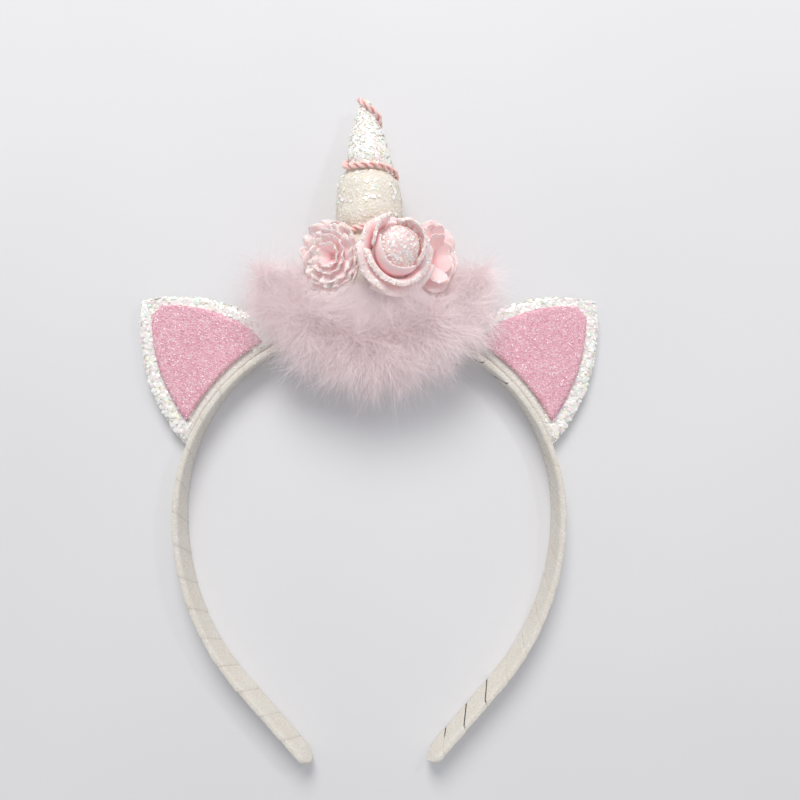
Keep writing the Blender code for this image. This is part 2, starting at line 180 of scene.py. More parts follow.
# %% Closed tubes and closed sheets
def rounded_tube(rings):
    """Rings of corners (rows, columns, 3), closed at both ends by a fan to their middles."""
    rows, columns = rings.shape[:2]
    corners = np.concatenate([rings.reshape(-1, 3), rings[0].mean(0)[None], rings[-1].mean(0)[None]])
    near = np.arange(columns)
    after = (near + 1) % columns
    last = (rows - 1) * columns
    first_fan = np.stack([after, near, np.full(columns, rows * columns)], axis=-1)
    last_fan = np.stack([last + near, last + after, np.full(columns, rows * columns + 1)], axis=-1)
    return corners, grid_quads(rows, columns, around=True), np.concatenate([first_fan, last_fan])


def flat_tube(rings):
    """Rings that are flat loops: their ends close with a ladder of quads between the two halves."""
    rows, columns = rings.shape[:2]
    quads = [grid_quads(rows, columns, around=True)]
    near = np.arange(columns // 2 - 1)
    for row, flip in ((0, True), (rows - 1, False)):
        end = row * columns + np.stack([near, near + 1, columns - 2 - near, columns - 1 - near], axis=-1)
        quads.append(end[:, ::-1] if flip else end)
    return rings.reshape(-1, 3), np.concatenate(quads)


def grid_normals(points):
    """Normals of a grid: across the columns, crossed with up the rows."""
    return unit(np.cross(np.gradient(points, axis=1), np.gradient(points, axis=0)))


def thin_sheet(points, thickness):
    """Two skins half a thickness either side of a grid, joined along the rim that runs round it."""
    rows, columns = points.shape[:2]
    count = rows * columns
    lift = grid_normals(points) * thickness / 2
    corners = np.concatenate([(points + lift).reshape(-1, 3), (points - lift).reshape(-1, 3)])
    front = grid_quads(rows, columns)
    low, high = np.arange(columns), (rows - 1) * columns + np.arange(columns)[::-1]
    right = np.arange(rows) * columns + columns - 1
    left = np.arange(rows)[::-1] * columns
    rim = np.concatenate([low, right[1:], high[1:], left[1:]])
    side = np.stack([rim[1:], rim[:-1], rim[:-1] + count, rim[1:] + count], axis=-1)
    return corners, np.concatenate([front, front[:, ::-1] + count, side])


def joined(shapes):
    """One set of corners, quads, triangles and values from several (corners, quads, triangles, values)."""
    start, corners, quads, triangles, values = 0, [], [], [], {}
    for points, four, three, extra in shapes:
        corners.append(points)
        quads.append(np.asarray(four, dtype=int).reshape(-1, 4) + start)
        triangles.append(np.asarray(three, dtype=int).reshape(-1, 3) + start)
        start += len(points)
        for key, value in extra.items():
            values.setdefault(key, []).append(value)
    return (np.concatenate(corners), np.concatenate(quads), np.concatenate(triangles),
            {key: np.concatenate(value) for key, value in values.items()})


# %% [markdown]
# ## Glitter
# Glitter film is punched into small flat chips that lie at every angle in their
# glue, and each one flashes its own colour.  A bump texture can't break up an
# outline, so the chips are real: low pyramids with irregular corners, scattered
# over a surface by area and tipped a little at random.

# %% Scattered chips
def scatter(rng, surface, count, weight=None):
    """Places and normals on a grid surface, as likely in each quad as its area times its weight."""
    a, b, c, d = surface[:-1, :-1], surface[:-1, 1:], surface[1:, 1:], surface[1:, :-1]
    normal = np.cross(c - a, d - b)
    chance = np.linalg.norm(normal, axis=-1) * (1.0 if weight is None else weight)
    pick = rng.choice(chance.size, count, p=chance.ravel() / chance.sum())
    s, t = rng.random((2, count, 1))
    a, b, c, d = (corner.reshape(-1, 3)[pick] for corner in (a, b, c, d))
    place = a * (1 - s) * (1 - t) + b * s * (1 - t) + c * s * t + d * (1 - s) * t
    return place, unit(normal.reshape(-1, 3)[pick])


def chips(rng, places, normals, size, tip, palette, sides=5, sink=0.25):
    """Low pyramids on both sides of a tipped plane: an uneven ring of corners and two peaks."""
    count = len(places)
    normals = unit(normals + tip * rng.normal(size=(count, 3)))
    across = unit(np.cross(normals, rng.normal(size=(count, 3))))
    along = np.cross(normals, across)
    radius = size / 2 * (0.75 + 0.5 * rng.random((count, 1)))
    turn = np.linspace(0, math.tau, sides, endpoint=False)[None, :] + 0.35 * rng.normal(size=(count, sides))
    turn = np.sort(turn, axis=1)
    reach = radius * (0.8 + 0.4 * rng.random((count, sides)))
    middle = places + normals * radius * (0.5 - sink)
    ring = (middle[:, None] + (reach * np.cos(turn))[..., None] * across[:, None]
            + (reach * np.sin(turn))[..., None] * along[:, None])
    peaks = middle[:, None] + np.array([0.14, -0.14])[None, :, None] * (radius * normals)[:, None]
    corners = np.concatenate([ring, peaks], axis=1)
    near = np.arange(sides)
    after = (near + 1) % sides
    fans = np.concatenate([np.stack([near, after, np.full(sides, sides)], axis=-1),
                           np.stack([after, near, np.full(sides, sides + 1)], axis=-1)])
    triangles = (np.arange(count)[:, None, None] * (sides + 2) + fans[None]).reshape(-1, 3)
    tint = np.ones((count, sides + 2, 4))
    tint[..., :3] = np.asarray(palette)[rng.integers(len(palette), size=count)][:, None]
    tint[..., :3] *= 0.92 + 0.08 * rng.random((count, 1, 1))
    return corners.reshape(-1, 3), [], triangles, {"tint": tint.reshape(-1, 4)}


PEARL_CHIPS = ((0.96, 0.96, 0.94), (0.97, 0.95, 0.92), (0.96, 0.94, 0.94), (0.97, 0.97, 0.96),
               (0.78, 0.96, 0.86), (0.97, 0.95, 0.76), (0.97, 0.78, 0.84), (0.97, 0.90, 0.88),
               (0.96, 0.93, 0.86))
FROST_CHIPS = ((0.97, 0.95, 0.90), (0.93, 0.88, 0.78), (0.98, 0.97, 0.96))
ROSE_CHIPS = ((0.95, 0.58, 0.68), (0.96, 0.68, 0.75), (0.90, 0.46, 0.58), (0.99, 0.90, 0.92))


def chip_finish():
    """Clear film over a bright backing: coat for the flash, thin film for the change of hue, and a faint
    white emission that is a painted glow for the sparkle.
    """
    finish, shader = new_finish("pearl_chips", (0.9, 0.9, 0.9), 0.24, Metallic=0.10,
                                Coat_Weight=0.6, Coat_Roughness=0.08,
                                Thin_Film_Thickness=420.0, Thin_Film_IOR=1.45,
                                Emission_Color=(1.0, 0.98, 0.96, 1), Emission_Strength=0.10)
    finish.node_tree.links.new(stored(finish, "tint").outputs["Color"], shader.inputs["Base Color"])
    return finish


CHIP_FINISH = chip_finish()

# %% [markdown]
# ## Ribbon
# The hoop is a plastic strip wound with a cream ribbon that has fine glitter in
# its weave.  Each turn laps over the last one, so the surface climbs a little
# and drops at every lap; a thin painted shadow darkens each lap, and where the
# lap opens on the inside, a near-black painted shadow fills the slit.
# A surface with that saw-tooth relief is truer than a bump, because the laps
# show in the outline of the slim edge.

# %% Ribbon finish
def ribbon_finish():
    finish, shader = new_finish("cream_ribbon", (0.70, 0.64, 0.54), 0.45)
    link = finish.node_tree.links.new
    tint, glint, _ = sparkle_cells(finish, 2600)
    weave = ramp(finish, tint, ((0.0, (0.72, 0.68, 0.60)), (0.6, (0.81, 0.77, 0.70)),
                                (0.93, (0.86, 0.83, 0.77)), (1.0, (0.98, 0.96, 0.91))))
    blotch = node(finish, "ShaderNodeTexNoise", {"Vector": object_point(finish)}, Scale=140, Detail=3)
    aged = mixed(finish, 0.35, weave, ramp(finish, blotch.outputs["Fac"], (
        (0.35, (0.76, 0.69, 0.58)), (0.65, (0.80, 0.77, 0.71)))))
    lap = node(finish, "ShaderNodeMath", {0: stored(finish, "phase").outputs["Fac"]}, operation="PINGPONG")
    lap.inputs[1].default_value = 0.5
    # A thin painted shadow darkens the ribbon's colour along each lap.
    lap_shadowed = mixed(finish, 1.0, aged, ramp(finish, lap.outputs[0], (
        (0.0, (0.86, 0.84, 0.81)), (0.010, (0.90, 0.88, 0.86)), (0.04, (1.0, 1.0, 1.0)))), "MULTIPLY")
    # Where a lap opens on the inside, a near-black painted shadow fills the slit.
    slit_shadow_amount = mixed(finish, 1.0, stored(finish, "slit_shadow_mask").outputs["Color"], ramp(finish, lap.outputs[0], (
        (0.0, (1.0, 1.0, 1.0)), (0.022, (1.0, 1.0, 1.0)), (0.034, (0.0, 0.0, 0.0)))), "MULTIPLY")
    link(mixed(finish, slit_shadow_amount, lap_shadowed, (0.03, 0.027, 0.024)), shader.inputs["Base Color"])
    link(ramp(finish, glint, ((0.0, (0.62,) * 3), (0.85, (0.5,) * 3), (0.95, (0.14,) * 3))),
         shader.inputs["Roughness"])
    bumped(finish, shader, tint, 0.00012, 0.6)
    return finish


# %% [markdown]
# The hoop could be a swept curve, but the laps need a say in every corner.  So its
# rounded section is carried along the hoop as a grid: a quarter circle from the
# crown, a flatter arc that turns in, and a straight leg with a rounded end.

# %% Hoop wound with ribbon
HOOP_WALL = 2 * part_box("band")[1][1]
HOOP_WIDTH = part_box("band")[1][2]
HOOP_RADIUS = 0.0629
HOOP_LOW_RADIUS = 0.084
HOOP_TUCK = math.radians(41)
HOOP_QUARTER = HOOP_RADIUS * math.pi / 2
LOW_ARC = HOOP_LOW_RADIUS * HOOP_TUCK
LEG_LENGTH = 0.0340
LEG_TWIST = 0.0016
END_ROUND, END_WALL = 0.0045, 0.0013
EAR_FROM_CROWN, EAR_BASE = 0.0307, 0.0458      # along the hoop
WRAP_PITCH = 0.0105
LAP_HEIGHT = 0.00022
# Stretches whose inside faces get a painted shadow in the lap slits.
SLIT_SHADOW_STRETCHES = ((0.033, 0.052), (0.160, 0.184))     # right of the crown, where laps gape
HALF_RUN = HOOP_QUARTER + LOW_ARC + LEG_LENGTH
BAND_CHIPS, BAND_CHIP_SIZE = 3200, 0.00034


def passed(share, stretch):
    """How much of a stretch lies behind a share: 0 before it, 1 after it."""
    return np.clip((share - stretch[0]) / (stretch[1] - stretch[0]), 0, 1)


def hoop_point(run):
    """Middle of the hoop's wall and its outward direction, at signed distances from the crown:
    a quarter circle, a flatter arc that turns in, and a straight leg."""
    far, side = np.abs(run), np.stack([np.where(run < 0, -1, 1), np.ones_like(run)], axis=-1)
    quarter = np.minimum(far, HOOP_QUARTER) / HOOP_RADIUS
    angle = quarter + np.clip(far - HOOP_QUARTER, 0, LOW_ARC) / HOOP_LOW_RADIUS
    outward = np.stack([np.sin(angle), np.cos(angle)], axis=-1)
    along = np.stack([np.cos(angle), -np.sin(angle)], axis=-1)
    at_quarter = np.stack([np.sin(quarter), np.cos(quarter)], axis=-1)
    straight = np.maximum(far - HOOP_QUARTER - LOW_ARC, 0)[..., None]
    point = HOOP_RADIUS * (at_quarter - [0, 1]) + HOOP_LOW_RADIUS * (outward - at_quarter) + straight * along
    return side * point, side * outward


def band_section(points=32, corner=0.00075):
    """Rounded oblong: out from the wall's middle, up from its mid width, and distance round it."""
    turn = np.linspace(0, math.tau, points, endpoint=False) + math.pi / points
    half_wall, half_width = HOOP_WALL / 2, HOOP_WIDTH / 2
    corner_turn = np.stack([np.sign(np.cos(turn)), np.sign(np.sin(turn))], axis=-1)
    quarter = turn % (math.pi / 2)
    squared = np.where(corner_turn[:, 0] * corner_turn[:, 1] > 0, quarter, math.pi / 2 - quarter)
    hug = np.clip((squared / (math.pi / 2) - 0.28) / 0.44, 0, 1) * math.pi / 2
    slide = np.clip(squared / (math.pi / 2) / 0.28, 0, 1)
    run = np.clip((squared / (math.pi / 2) - 0.72) / 0.28, 0, 1)
    out = corner_turn[:, 0] * ((half_wall - corner) * (1 - run) + corner * np.cos(hug))
    up = corner_turn[:, 1] * ((half_width - corner) * slide + corner * np.sin(hug))
    step = np.hypot(np.diff(out, append=out[:1]), np.diff(up, append=up[:1]))
    return out, up, np.concatenate([[0], np.cumsum(step)[:-1]]), step.sum()


def wound_band(steps=620):
    """Section carried along the hoop, twisted from the ears' feet to the widest points; the wrap
    is a saw-tooth of distance along plus round."""
    run = np.linspace(-HALF_RUN, HALF_RUN, steps)
    out, up, round_it, girth = band_section()
    into_end = np.clip((np.abs(run) - (HALF_RUN - END_ROUND)) / END_ROUND, 0, 0.995)
    narrow = np.sqrt(1 - into_end ** 2)[:, None]
    thin = (1 + (END_WALL / HOOP_WALL - 1) * into_end)[:, None]
    twist = LEG_TWIST * passed(np.abs(run), (EAR_FROM_CROWN + EAR_BASE / 2, HOOP_QUARTER))[:, None]
    phase = run[:, None] / WRAP_PITCH + round_it[None, :] / girth
    lap = phase % 1
    turn = np.floor(phase)
    relief = LAP_HEIGHT * (np.clip(lap / 0.06, 0, 1) * (1 - 0.8 * lap) + 0.15 * np.sin(9 * phase + turn))
    scale = 1 + (relief - LAP_HEIGHT) / np.hypot(out, np.clip(up, -HOOP_WALL / 2, HOOP_WALL / 2))
    middle, outward = hoop_point(run)
    level = HOOP_WIDTH / 2 + up[None, :] * (1 + (relief - LAP_HEIGHT) / (HOOP_WIDTH / 2)) * narrow
    side = out[None, :] * scale * thin - twist * (1 - level / HOOP_WIDTH)
    corners = np.empty((steps, len(out), 3))
    corners[..., :2] = middle[:, None, :] + side[..., None] * outward[:, None, :]
    corners[..., 2] = level
    # Mask of the painted slit shadow: the inside faces along those stretches.
    slit_shadow_run = sum(((run > low) & (run < high)).astype(float) for low, high in SLIT_SHADOW_STRETCHES)
    inside = np.clip(-out / (HOOP_WALL / 2), 0, 1)
    slit_shadow_values = np.ones((steps, len(out), 4))
    slit_shadow_values[..., :3] = (slit_shadow_run[:, None] * inside[None, :])[..., None]
    return corners, phase, slit_shadow_values


def build_band(rng):
    corners, phase, slit_shadow_values = wound_band()
    flat, quads = flat_tube(corners)
    band = piece("band_ribbon", flat, quads, [], ribbon_finish(),
                 {"phase": phase.ravel(), "slit_shadow_mask": slit_shadow_values.reshape(-1, 4)})
    closed = np.concatenate([corners, corners[:, :1]], axis=1)
    level = closed[:-1, :-1, 2] / HOOP_WIDTH
    near_ridge = np.exp(-((level - 0.97) / 0.05) ** 2) + 0.06
    places, normals = scatter(rng, closed, BAND_CHIPS, near_ridge)
    points, _, triangles, values = chips(rng, places, normals, BAND_CHIP_SIZE, 0.5, FROST_CHIPS, sides=3)
    frost = piece("band_glitter", points, [], triangles, CHIP_FINISH, values, smooth=False)
    for thing in (band, frost):
        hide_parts("band")


build_band(np.random.default_rng(2))

# %% [markdown]
# ## Ears
# Each ear is a felt panel with chunky pearl glitter all over it and a smaller
# pink panel glued on its front.  Its foot follows the hoop, so the outline is
# worked out as an angle round the hoop and a height over it.  The border left
# round the pink panel, its edge and its back carry the chips, and a smooth strip
# of felt shows along the hoop.

# %% Felt finishes
def felt_finish(name, deep, pale, cell=1900, glint=0.5):
    """Felt sprayed with fine glitter: cells of mixed tone, a few of them mirror-bright."""
    finish, shader = new_finish(name, pale, 0.5)
    link = finish.node_tree.links.new
    tint, shine, distance = sparkle_cells(finish, cell)
    tone = ramp(finish, tint, ((0.0, deep), (0.55, pale), (0.9, tuple(min(1, 1.12 * c) for c in pale)),
                               (1.0, (0.97, 0.93, 0.93))))
    patch = node(finish, "ShaderNodeTexNoise", {"Vector": object_point(finish)}, Scale=220, Detail=4)
    soft = ramp(finish, patch.outputs["Fac"], ((0.3, deep), (0.7, pale)))
    link(mixed(finish, 0.35, tone, soft), shader.inputs["Base Color"])
    link(ramp(finish, shine, ((0.0, (0.65,) * 3), (1 - glint / 2, (0.45,) * 3), (1.0, (0.08,) * 3))),
         shader.inputs["Roughness"])
    bumped(finish, shader, distance, 0.0003, 0.7)
    return finish


# %% [markdown]
# Each row of an ear is a flat loop, across its front and back again over its rear,
# and it thins towards the edge like pressed felt.  Chips are scattered where the
# outline says that the border lies.

# %% Ears
GAP = 0.0003
HOOP_OUTER = HOOP_RADIUS + HOOP_WALL / 2
EAR_HEIGHT = 0.0378
EAR_FOOT_BORDER, EAR_TIP_BORDER = 0.0030, 0.0054
EAR_BORDERS = (0.0039, 0.0049)     # at the upper and the lower edge
EAR_SLANTS = (1.12, 1.18)          # border along the hoop over border square to the edge
FACE_CHIPS, FACE_CHIP_SIZE = 900, 0.0015
EDGE_CHIPS, EDGE_CHIP_SIZE = 150, 0.0011
PINK_CHIPS, PINK_CHIP_SIZE = 2200, 0.00055
EAR_OUTLINE = np.array((
    # height, upper edge, lower edge, as shares of the ear's height and base
    (0.00, 0.000, 1.000), (0.15, 0.023, 0.945), (0.32, 0.071, 0.862), (0.47, 0.140, 0.790),
    (0.62, 0.213, 0.709), (0.77, 0.298, 0.620), (0.89, 0.378, 0.548), (0.96, 0.428, 0.505),
    (1.00, 0.462, 0.478)))


def ear_panel(side, low, high, borders, back, wall, rows=44, columns=32, edge=0.0006):
    """Rows rise from the hoop; each is a flat loop across the front and back between two edges."""
    out = np.linspace(low, high, rows)
    radius = HOOP_OUTER + GAP + out
    edges = [(EAR_FROM_CROWN + np.interp(out / EAR_HEIGHT, EAR_OUTLINE[:, 0], EAR_OUTLINE[:, column])
              * EAR_BASE) / HOOP_OUTER for column in (1, 2)]
    first = edges[0] + EAR_SLANTS[0] * borders[0] / radius
    last = edges[1] - EAR_SLANTS[1] * borders[1] / radius
    middle, half = (first + last) / 2, np.maximum(last - first, 2 * GAP / radius) / 2
    first, last = middle - half, middle + half
    slide = np.linspace(0, 1, columns)
    slide = slide + 0.10 * np.sin(math.tau * slide) / math.tau * 4
    angle = first[:, None] + (last - first)[:, None] * slide[None, :]
    inset = np.minimum(np.minimum(slide, 1 - slide)[None, :] * ((last - first) * radius)[:, None],
                       np.minimum(out - low, high - out)[:, None])
    thick = wall / 2 * np.sqrt(np.clip(1 - (1 - np.clip(inset / edge, 0, 1)) ** 2, 0.12, 1))
    x = side * radius[:, None] * np.sin(angle)
    y = -HOOP_RADIUS + radius[:, None] * np.cos(angle)
    level = back + wall / 2
    front = np.stack([x, y, level + thick], axis=-1)
    rear = np.stack([x, y, level - thick], axis=-1)
    loop = np.concatenate([front, rear[:, ::-1]], axis=1)
    return (loop if side < 0 else loop[:, ::-1]), front, rear, out


def facing(surface, way):
    """The same grid, its columns turned round if its faces would look away from way."""
    return surface if (grid_normals(surface) @ np.asarray(way)).mean() > 0 else surface[:, ::-1]


def build_ear(side, word, rng, finishes):
    shell_box, inner_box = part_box(f"ear_{word}_shell"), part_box(f"ear_{word}_inner")
    back, wall = shell_box[0][2], shell_box[1][2] - shell_box[0][2]
    loop, front, rear, out = ear_panel(side, 0.0, EAR_HEIGHT, (0, 0), back, wall)
    corners, quads = flat_tube(loop)
    shell = piece(f"ear_{word}_panel", corners, quads, [], finishes["shell"])
    inner_loop, inner_front, _, _ = ear_panel(
        side, EAR_FOOT_BORDER, EAR_HEIGHT - EAR_TIP_BORDER, EAR_BORDERS,
        inner_box[0][2], inner_box[1][2] - inner_box[0][2], edge=0.0005)
    corners, quads = flat_tube(inner_loop)
    inner = piece(f"ear_{word}_pink", corners, quads, [], finishes["inner"])

    height = (out[:-1] + out[1:]) / 2
    columns = front.shape[1] - 1
    share = (np.arange(columns) + 0.5) / columns
    width = np.interp(height, EAR_HEIGHT * EAR_OUTLINE[:, 0],
                      EAR_BASE * (EAR_OUTLINE[:, 2] - EAR_OUTLINE[:, 1]))[:, None]
    upper_rim, lower_rim = share * width, (1 - share) * width
    on_border = (upper_rim < 1.3 * EAR_BORDERS[0]) | (lower_rim < 1.3 * EAR_BORDERS[1])
    on_border |= (height > EAR_HEIGHT - 1.2 * EAR_TIP_BORDER)[:, None]
    on_border &= (height > 0.5 * EAR_FOOT_BORDER)[:, None]
    shapes = []
    for surface, weight, way in ((front, on_border, (0, 0, 1)), (rear, None, (0, 0, -1))):
        turned = facing(surface, way)
        if weight is not None and turned is not surface:
            weight = weight[:, ::-1]
        places, normals = scatter(rng, turned, FACE_CHIPS, weight)
        shapes.append(chips(rng, places, normals, FACE_CHIP_SIZE, 0.16, PEARL_CHIPS))
    for column in (0, -1):
        edge = np.stack([front[:, column], rear[:, column]], axis=1)
        way = front[:, column].mean(0) - front.mean((0, 1))
        places, normals = scatter(rng, facing(edge, way), EDGE_CHIPS)
        shapes.append(chips(rng, places, normals, EDGE_CHIP_SIZE, 0.35, PEARL_CHIPS))
    corners, quads, triangles, values = joined(shapes)
    pearl = piece(f"ear_{word}_glitter", corners, quads, triangles, finishes["chips"], values, smooth=False)
    turned = facing(inner_front, (0, 0, 1))
    places, normals = scatter(rng, turned, PINK_CHIPS)
    corners, quads, triangles, values = chips(rng, places, normals, PINK_CHIP_SIZE, 0.45, ROSE_CHIPS,
                                              sides=3)
    dust = piece(f"ear_{word}_dust", corners, quads, triangles, finishes["chips"], values, smooth=False)
    for thing in (shell, pearl):
        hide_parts(f"ear_{word}_shell")
    for thing in (inner, dust):
        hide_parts(f"ear_{word}_inner")


EAR_FINISHES = {
    "shell": felt_finish("cream_felt", (0.82, 0.79, 0.73), (0.91, 0.89, 0.85)),
    "inner": felt_finish("pink_felt", (0.72, 0.31, 0.41), (0.88, 0.50, 0.58), glint=0.7),
    "chips": CHIP_FINISH,
}
for side, word in ((-1, "left"), (1, "right")):
    build_ear(side, word, np.random.default_rng(11 + side), EAR_FINISHES)

# %% [markdown]
# ## Horn and cord
# The horn is a stuffed felt cone.  A pink cord runs down it in a spiral and pulls
# the stuffing in, so its radius at a place is the cone's own, less a soft groove
# under each turn of the cord.  The upper part is thick with pearl chips, and the
# lower part is barer and creamier.

# %% Horn's shape
HORN_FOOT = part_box("horn")[0][1]
HORN_LENGTH = 0.0718
HORN_BASE_RADIUS = 0.0116
HORN_LEAN, HORN_DROOP = 0.0016, 0.0068
HORN_CINCH, CINCH_WIDTH = 0.0017, 0.0026
FLOOR_GAP = 0.0006
CORD_DIAMETER, CORD_GAP = 0.0019, 0.0006
CORD_PITCH, CORD_TURNS, CORD_START = 0.0190, 2.9, 0.0010
CORD_START_ANGLE, CORD_SLIP = math.radians(-25), 0.75
CORD_CORRECTIONS = 8
HORN_CHIPS, HORN_CHIP_SIZE = 2300, 0.0013
HORN_OUTLINE = np.array((
    # distance from the foot, radius, as shares of the length and of the foot's radius
    (0.00, 0.84), (0.07, 1.00), (0.30, 0.99), (0.50, 0.92), (0.60, 0.86),
    (0.69, 0.65), (0.79, 0.52), (0.88, 0.35), (0.96, 0.18), (1.00, 0.08)))


def horn_radius(distance):
    """Outline's radius, averaged over a short stretch so that it has no corners."""
    nearby = np.asarray(distance)[..., None] / HORN_LENGTH + np.linspace(-0.02, 0.02, 5)
    return HORN_BASE_RADIUS * np.interp(nearby, HORN_OUTLINE[:, 0], HORN_OUTLINE[:, 1]).mean(-1)


def horn_axis(distance):
    """Middle of the horn: up from the hoop, drooping and leaning a little towards its tip."""
    share = distance / HORN_LENGTH
    level = FLOOR_GAP + HORN_BASE_RADIUS + CORD_DIAMETER * share - HORN_DROOP * share ** 2.5
    return np.stack([-HORN_LEAN * share ** 3, HORN_FOOT + distance, level], axis=-1)


def cord_slip(distance, angle):
    """The cord lies lower on the horn's left than on its right, by a share of the horn's radius."""
    return CORD_SLIP * horn_radius(distance) * (1 - np.sin(angle)) / 2


def cinched_radius(distance, angle):
    """Radius less a bell-shaped groove under the nearest turn of the cord, and small puckers."""
    run = HORN_LENGTH - distance - CORD_START - cord_slip(distance, angle)
    turns = run / CORD_PITCH - (angle - CORD_START_ANGLE) / math.tau
    off = (turns - np.clip(np.round(turns), 0, CORD_TURNS)) * CORD_PITCH
    full = horn_radius(distance)
    fade = np.clip(full / (4 * HORN_CINCH), 0, 1)
    pucker = np.exp(-(off / (2.4 * CINCH_WIDTH)) ** 2) * np.sin(17 * angle + 300 * distance)
    dent = 0.0002 * np.sin(3 * angle + 180 * distance) * np.sin(2 * angle - 260 * distance)
    return full - fade * (HORN_CINCH * np.exp(-(off / CINCH_WIDTH) ** 2) + 0.00016 * pucker + np.abs(dent))


def round_horn(distance, angle, radius):
    """Point at an angle round the horn from its front, turning towards +X."""
    side = np.stack([np.sin(angle), np.zeros_like(angle), np.cos(angle)], axis=-1)
    return horn_axis(distance) + radius[..., None] * side


# %% [markdown]
# The horn's skin is a grid of distance from its foot and angle round it, closed at
# both ends.  Nearly all of its chips lie between the tip and one turn of the cord,
# and the stretch below is only dusted.

# %% Horn
def build_horn(rng):
    rows, columns = 150, 60
    distance = np.linspace(0, HORN_LENGTH, rows)
    angle = np.linspace(0, math.tau, columns, endpoint=False)
    distance, angle = np.meshgrid(distance, angle, indexing="ij")
    ends = np.clip(np.minimum(distance, HORN_LENGTH - distance) / 0.0012, 0, 1)
    radius = cinched_radius(distance, angle) * np.sqrt(1 - 0.75 * (1 - ends) ** 2)
    skin = round_horn(distance, angle, radius)
    corners, quads, triangles = rounded_tube(skin)
    felt = felt_finish("horn_felt", (0.78, 0.72, 0.61), (0.86, 0.81, 0.71), cell=1500, glint=0.3)
    horn = piece("horn_felt", corners, quads, triangles, felt)
    wrapped = np.concatenate([skin, skin[:, :1]], axis=1)
    fraction = (angle[:-1] - CORD_START_ANGLE) / math.tau % 1
    crossing = np.where(fraction < 0.6, fraction + 1, fraction)
    border = CORD_START + cord_slip(distance[:-1], angle[:-1]) + CORD_PITCH * crossing
    dense = np.where(HORN_LENGTH - distance[:-1] < border, 1.0, 0.07) * (distance[:-1] < 0.985 * HORN_LENGTH)
    places, normals = scatter(rng, wrapped, HORN_CHIPS, dense)
    corners, quads, triangles, values = chips(rng, places, normals, HORN_CHIP_SIZE, 0.20, PEARL_CHIPS)
    glitter = piece("horn_glitter", corners, quads, triangles, CHIP_FINISH, values, smooth=False)
    for thing in (horn, glitter):
        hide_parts("horn")


build_horn(np.random.default_rng(5))


# %% [markdown]
# The cord is two soft strands laid round each other.  Each strand is a tube along
# a small helix that itself follows the big spiral; the frame that it turns in is
# the spiral's direction, the way out of the horn, and the way across both.

# %% Cord of two strands
STRAND_LAY = 0.0054
STRAND_SHARE = 0.55        # of the cord's radius
STRAND_SWELL = 1.12        # the strands press together and bulge


def cord_line(points=620, over_start=0.10):
    """Spiral down the horn from just past its tip: angle grows as the distance falls, and the
    slip is found by repeated correction."""
    angle = CORD_START_ANGLE + np.linspace(-over_start, CORD_TURNS, points) * math.tau
    even = HORN_LENGTH - CORD_START - CORD_PITCH * (angle - CORD_START_ANGLE) / math.tau
    distance = even
    for _ in range(CORD_CORRECTIONS):
        distance = even - cord_slip(distance, angle)
    distance = np.minimum(distance, HORN_LENGTH - 0.0004)
    radius = cinched_radius(distance, angle) + CORD_DIAMETER / 2 + CORD_GAP
    return round_horn(distance, angle, radius), round_horn(distance, angle, radius + 0.001)


def build_cord():
    line, beyond = cord_line()
    tangent = unit(np.gradient(line, axis=0))
    out = unit(beyond - line)
    out = unit(out - tangent * (out * tangent).sum(-1, keepdims=True))
    across = np.cross(tangent, out)
    run = np.concatenate([[0], np.cumsum(np.linalg.norm(np.diff(line, axis=0), axis=1))])
    ends = np.clip(np.minimum(run, run[-1] - run) / (0.5 * CORD_DIAMETER), 0.15, 1) ** 0.5
    turn = np.linspace(0, math.tau, 9, endpoint=False)
    strand = CORD_DIAMETER / 2 * STRAND_SHARE
    shapes = []
    for start in (0, math.pi):
        lay = start + math.tau * run / STRAND_LAY
        offset = (CORD_DIAMETER / 2 - strand) * STRAND_SWELL
        middle = line + offset * (np.cos(lay)[:, None] * out + np.sin(lay)[:, None] * across)
        round_strand = (np.cos(turn)[None, :, None] * out[:, None]
                        + np.sin(turn)[None, :, None] * across[:, None])
        ring = strand * STRAND_SWELL * ends[:, None, None] * round_strand
        corners, quads, triangles = rounded_tube(middle[:, None] + ring)
        outermost = (np.cos(turn)[None, :] * np.cos(lay)[:, None]
                     + np.sin(turn)[None, :] * np.sin(lay)[:, None])
        crest = np.append(0.5 + 0.5 * outermost.ravel(), [1, 1])
        shapes.append((corners, quads, triangles, {"crest": crest}))
    corners, quads, triangles, values = joined(shapes)
    finish, shader = new_finish("pink_strands", (0.85, 0.42, 0.42), 0.45, Sheen_Weight=0.25)
    fibre = node(finish, "ShaderNodeTexNoise", {"Vector": object_point(finish)}, Scale=2500, Detail=2)
    # The ramp paints highlight on each strand's outer crest and shade in the groove between the strands.
    shade = ramp(finish, stored(finish, "crest").outputs["Fac"], (
        (0.0, (0.66, 0.28, 0.27)), (0.5, (0.96, 0.58, 0.54)), (1.0, (1.0, 0.76, 0.70))))
    finish.node_tree.links.new(shade, shader.inputs["Base Color"])
    bumped(finish, shader, fibre.outputs["Fac"], 0.0001, 0.5)
    cord = piece("horn_cord_strands", corners, quads, triangles, finish, values)
    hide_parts("horn_cord")


build_cord()

# %% [markdown]
# ## Flowers
# A fabric petal is a thin sheet pressed into a cup.  In a rose each petal wraps
# part of the way round the heart: it rises steeply, flares and rolls its rim
# outwards.  So a petal here is a strip of a turned vase, with its rim lowered at
# both sides and a roll and a ripple added near the top.

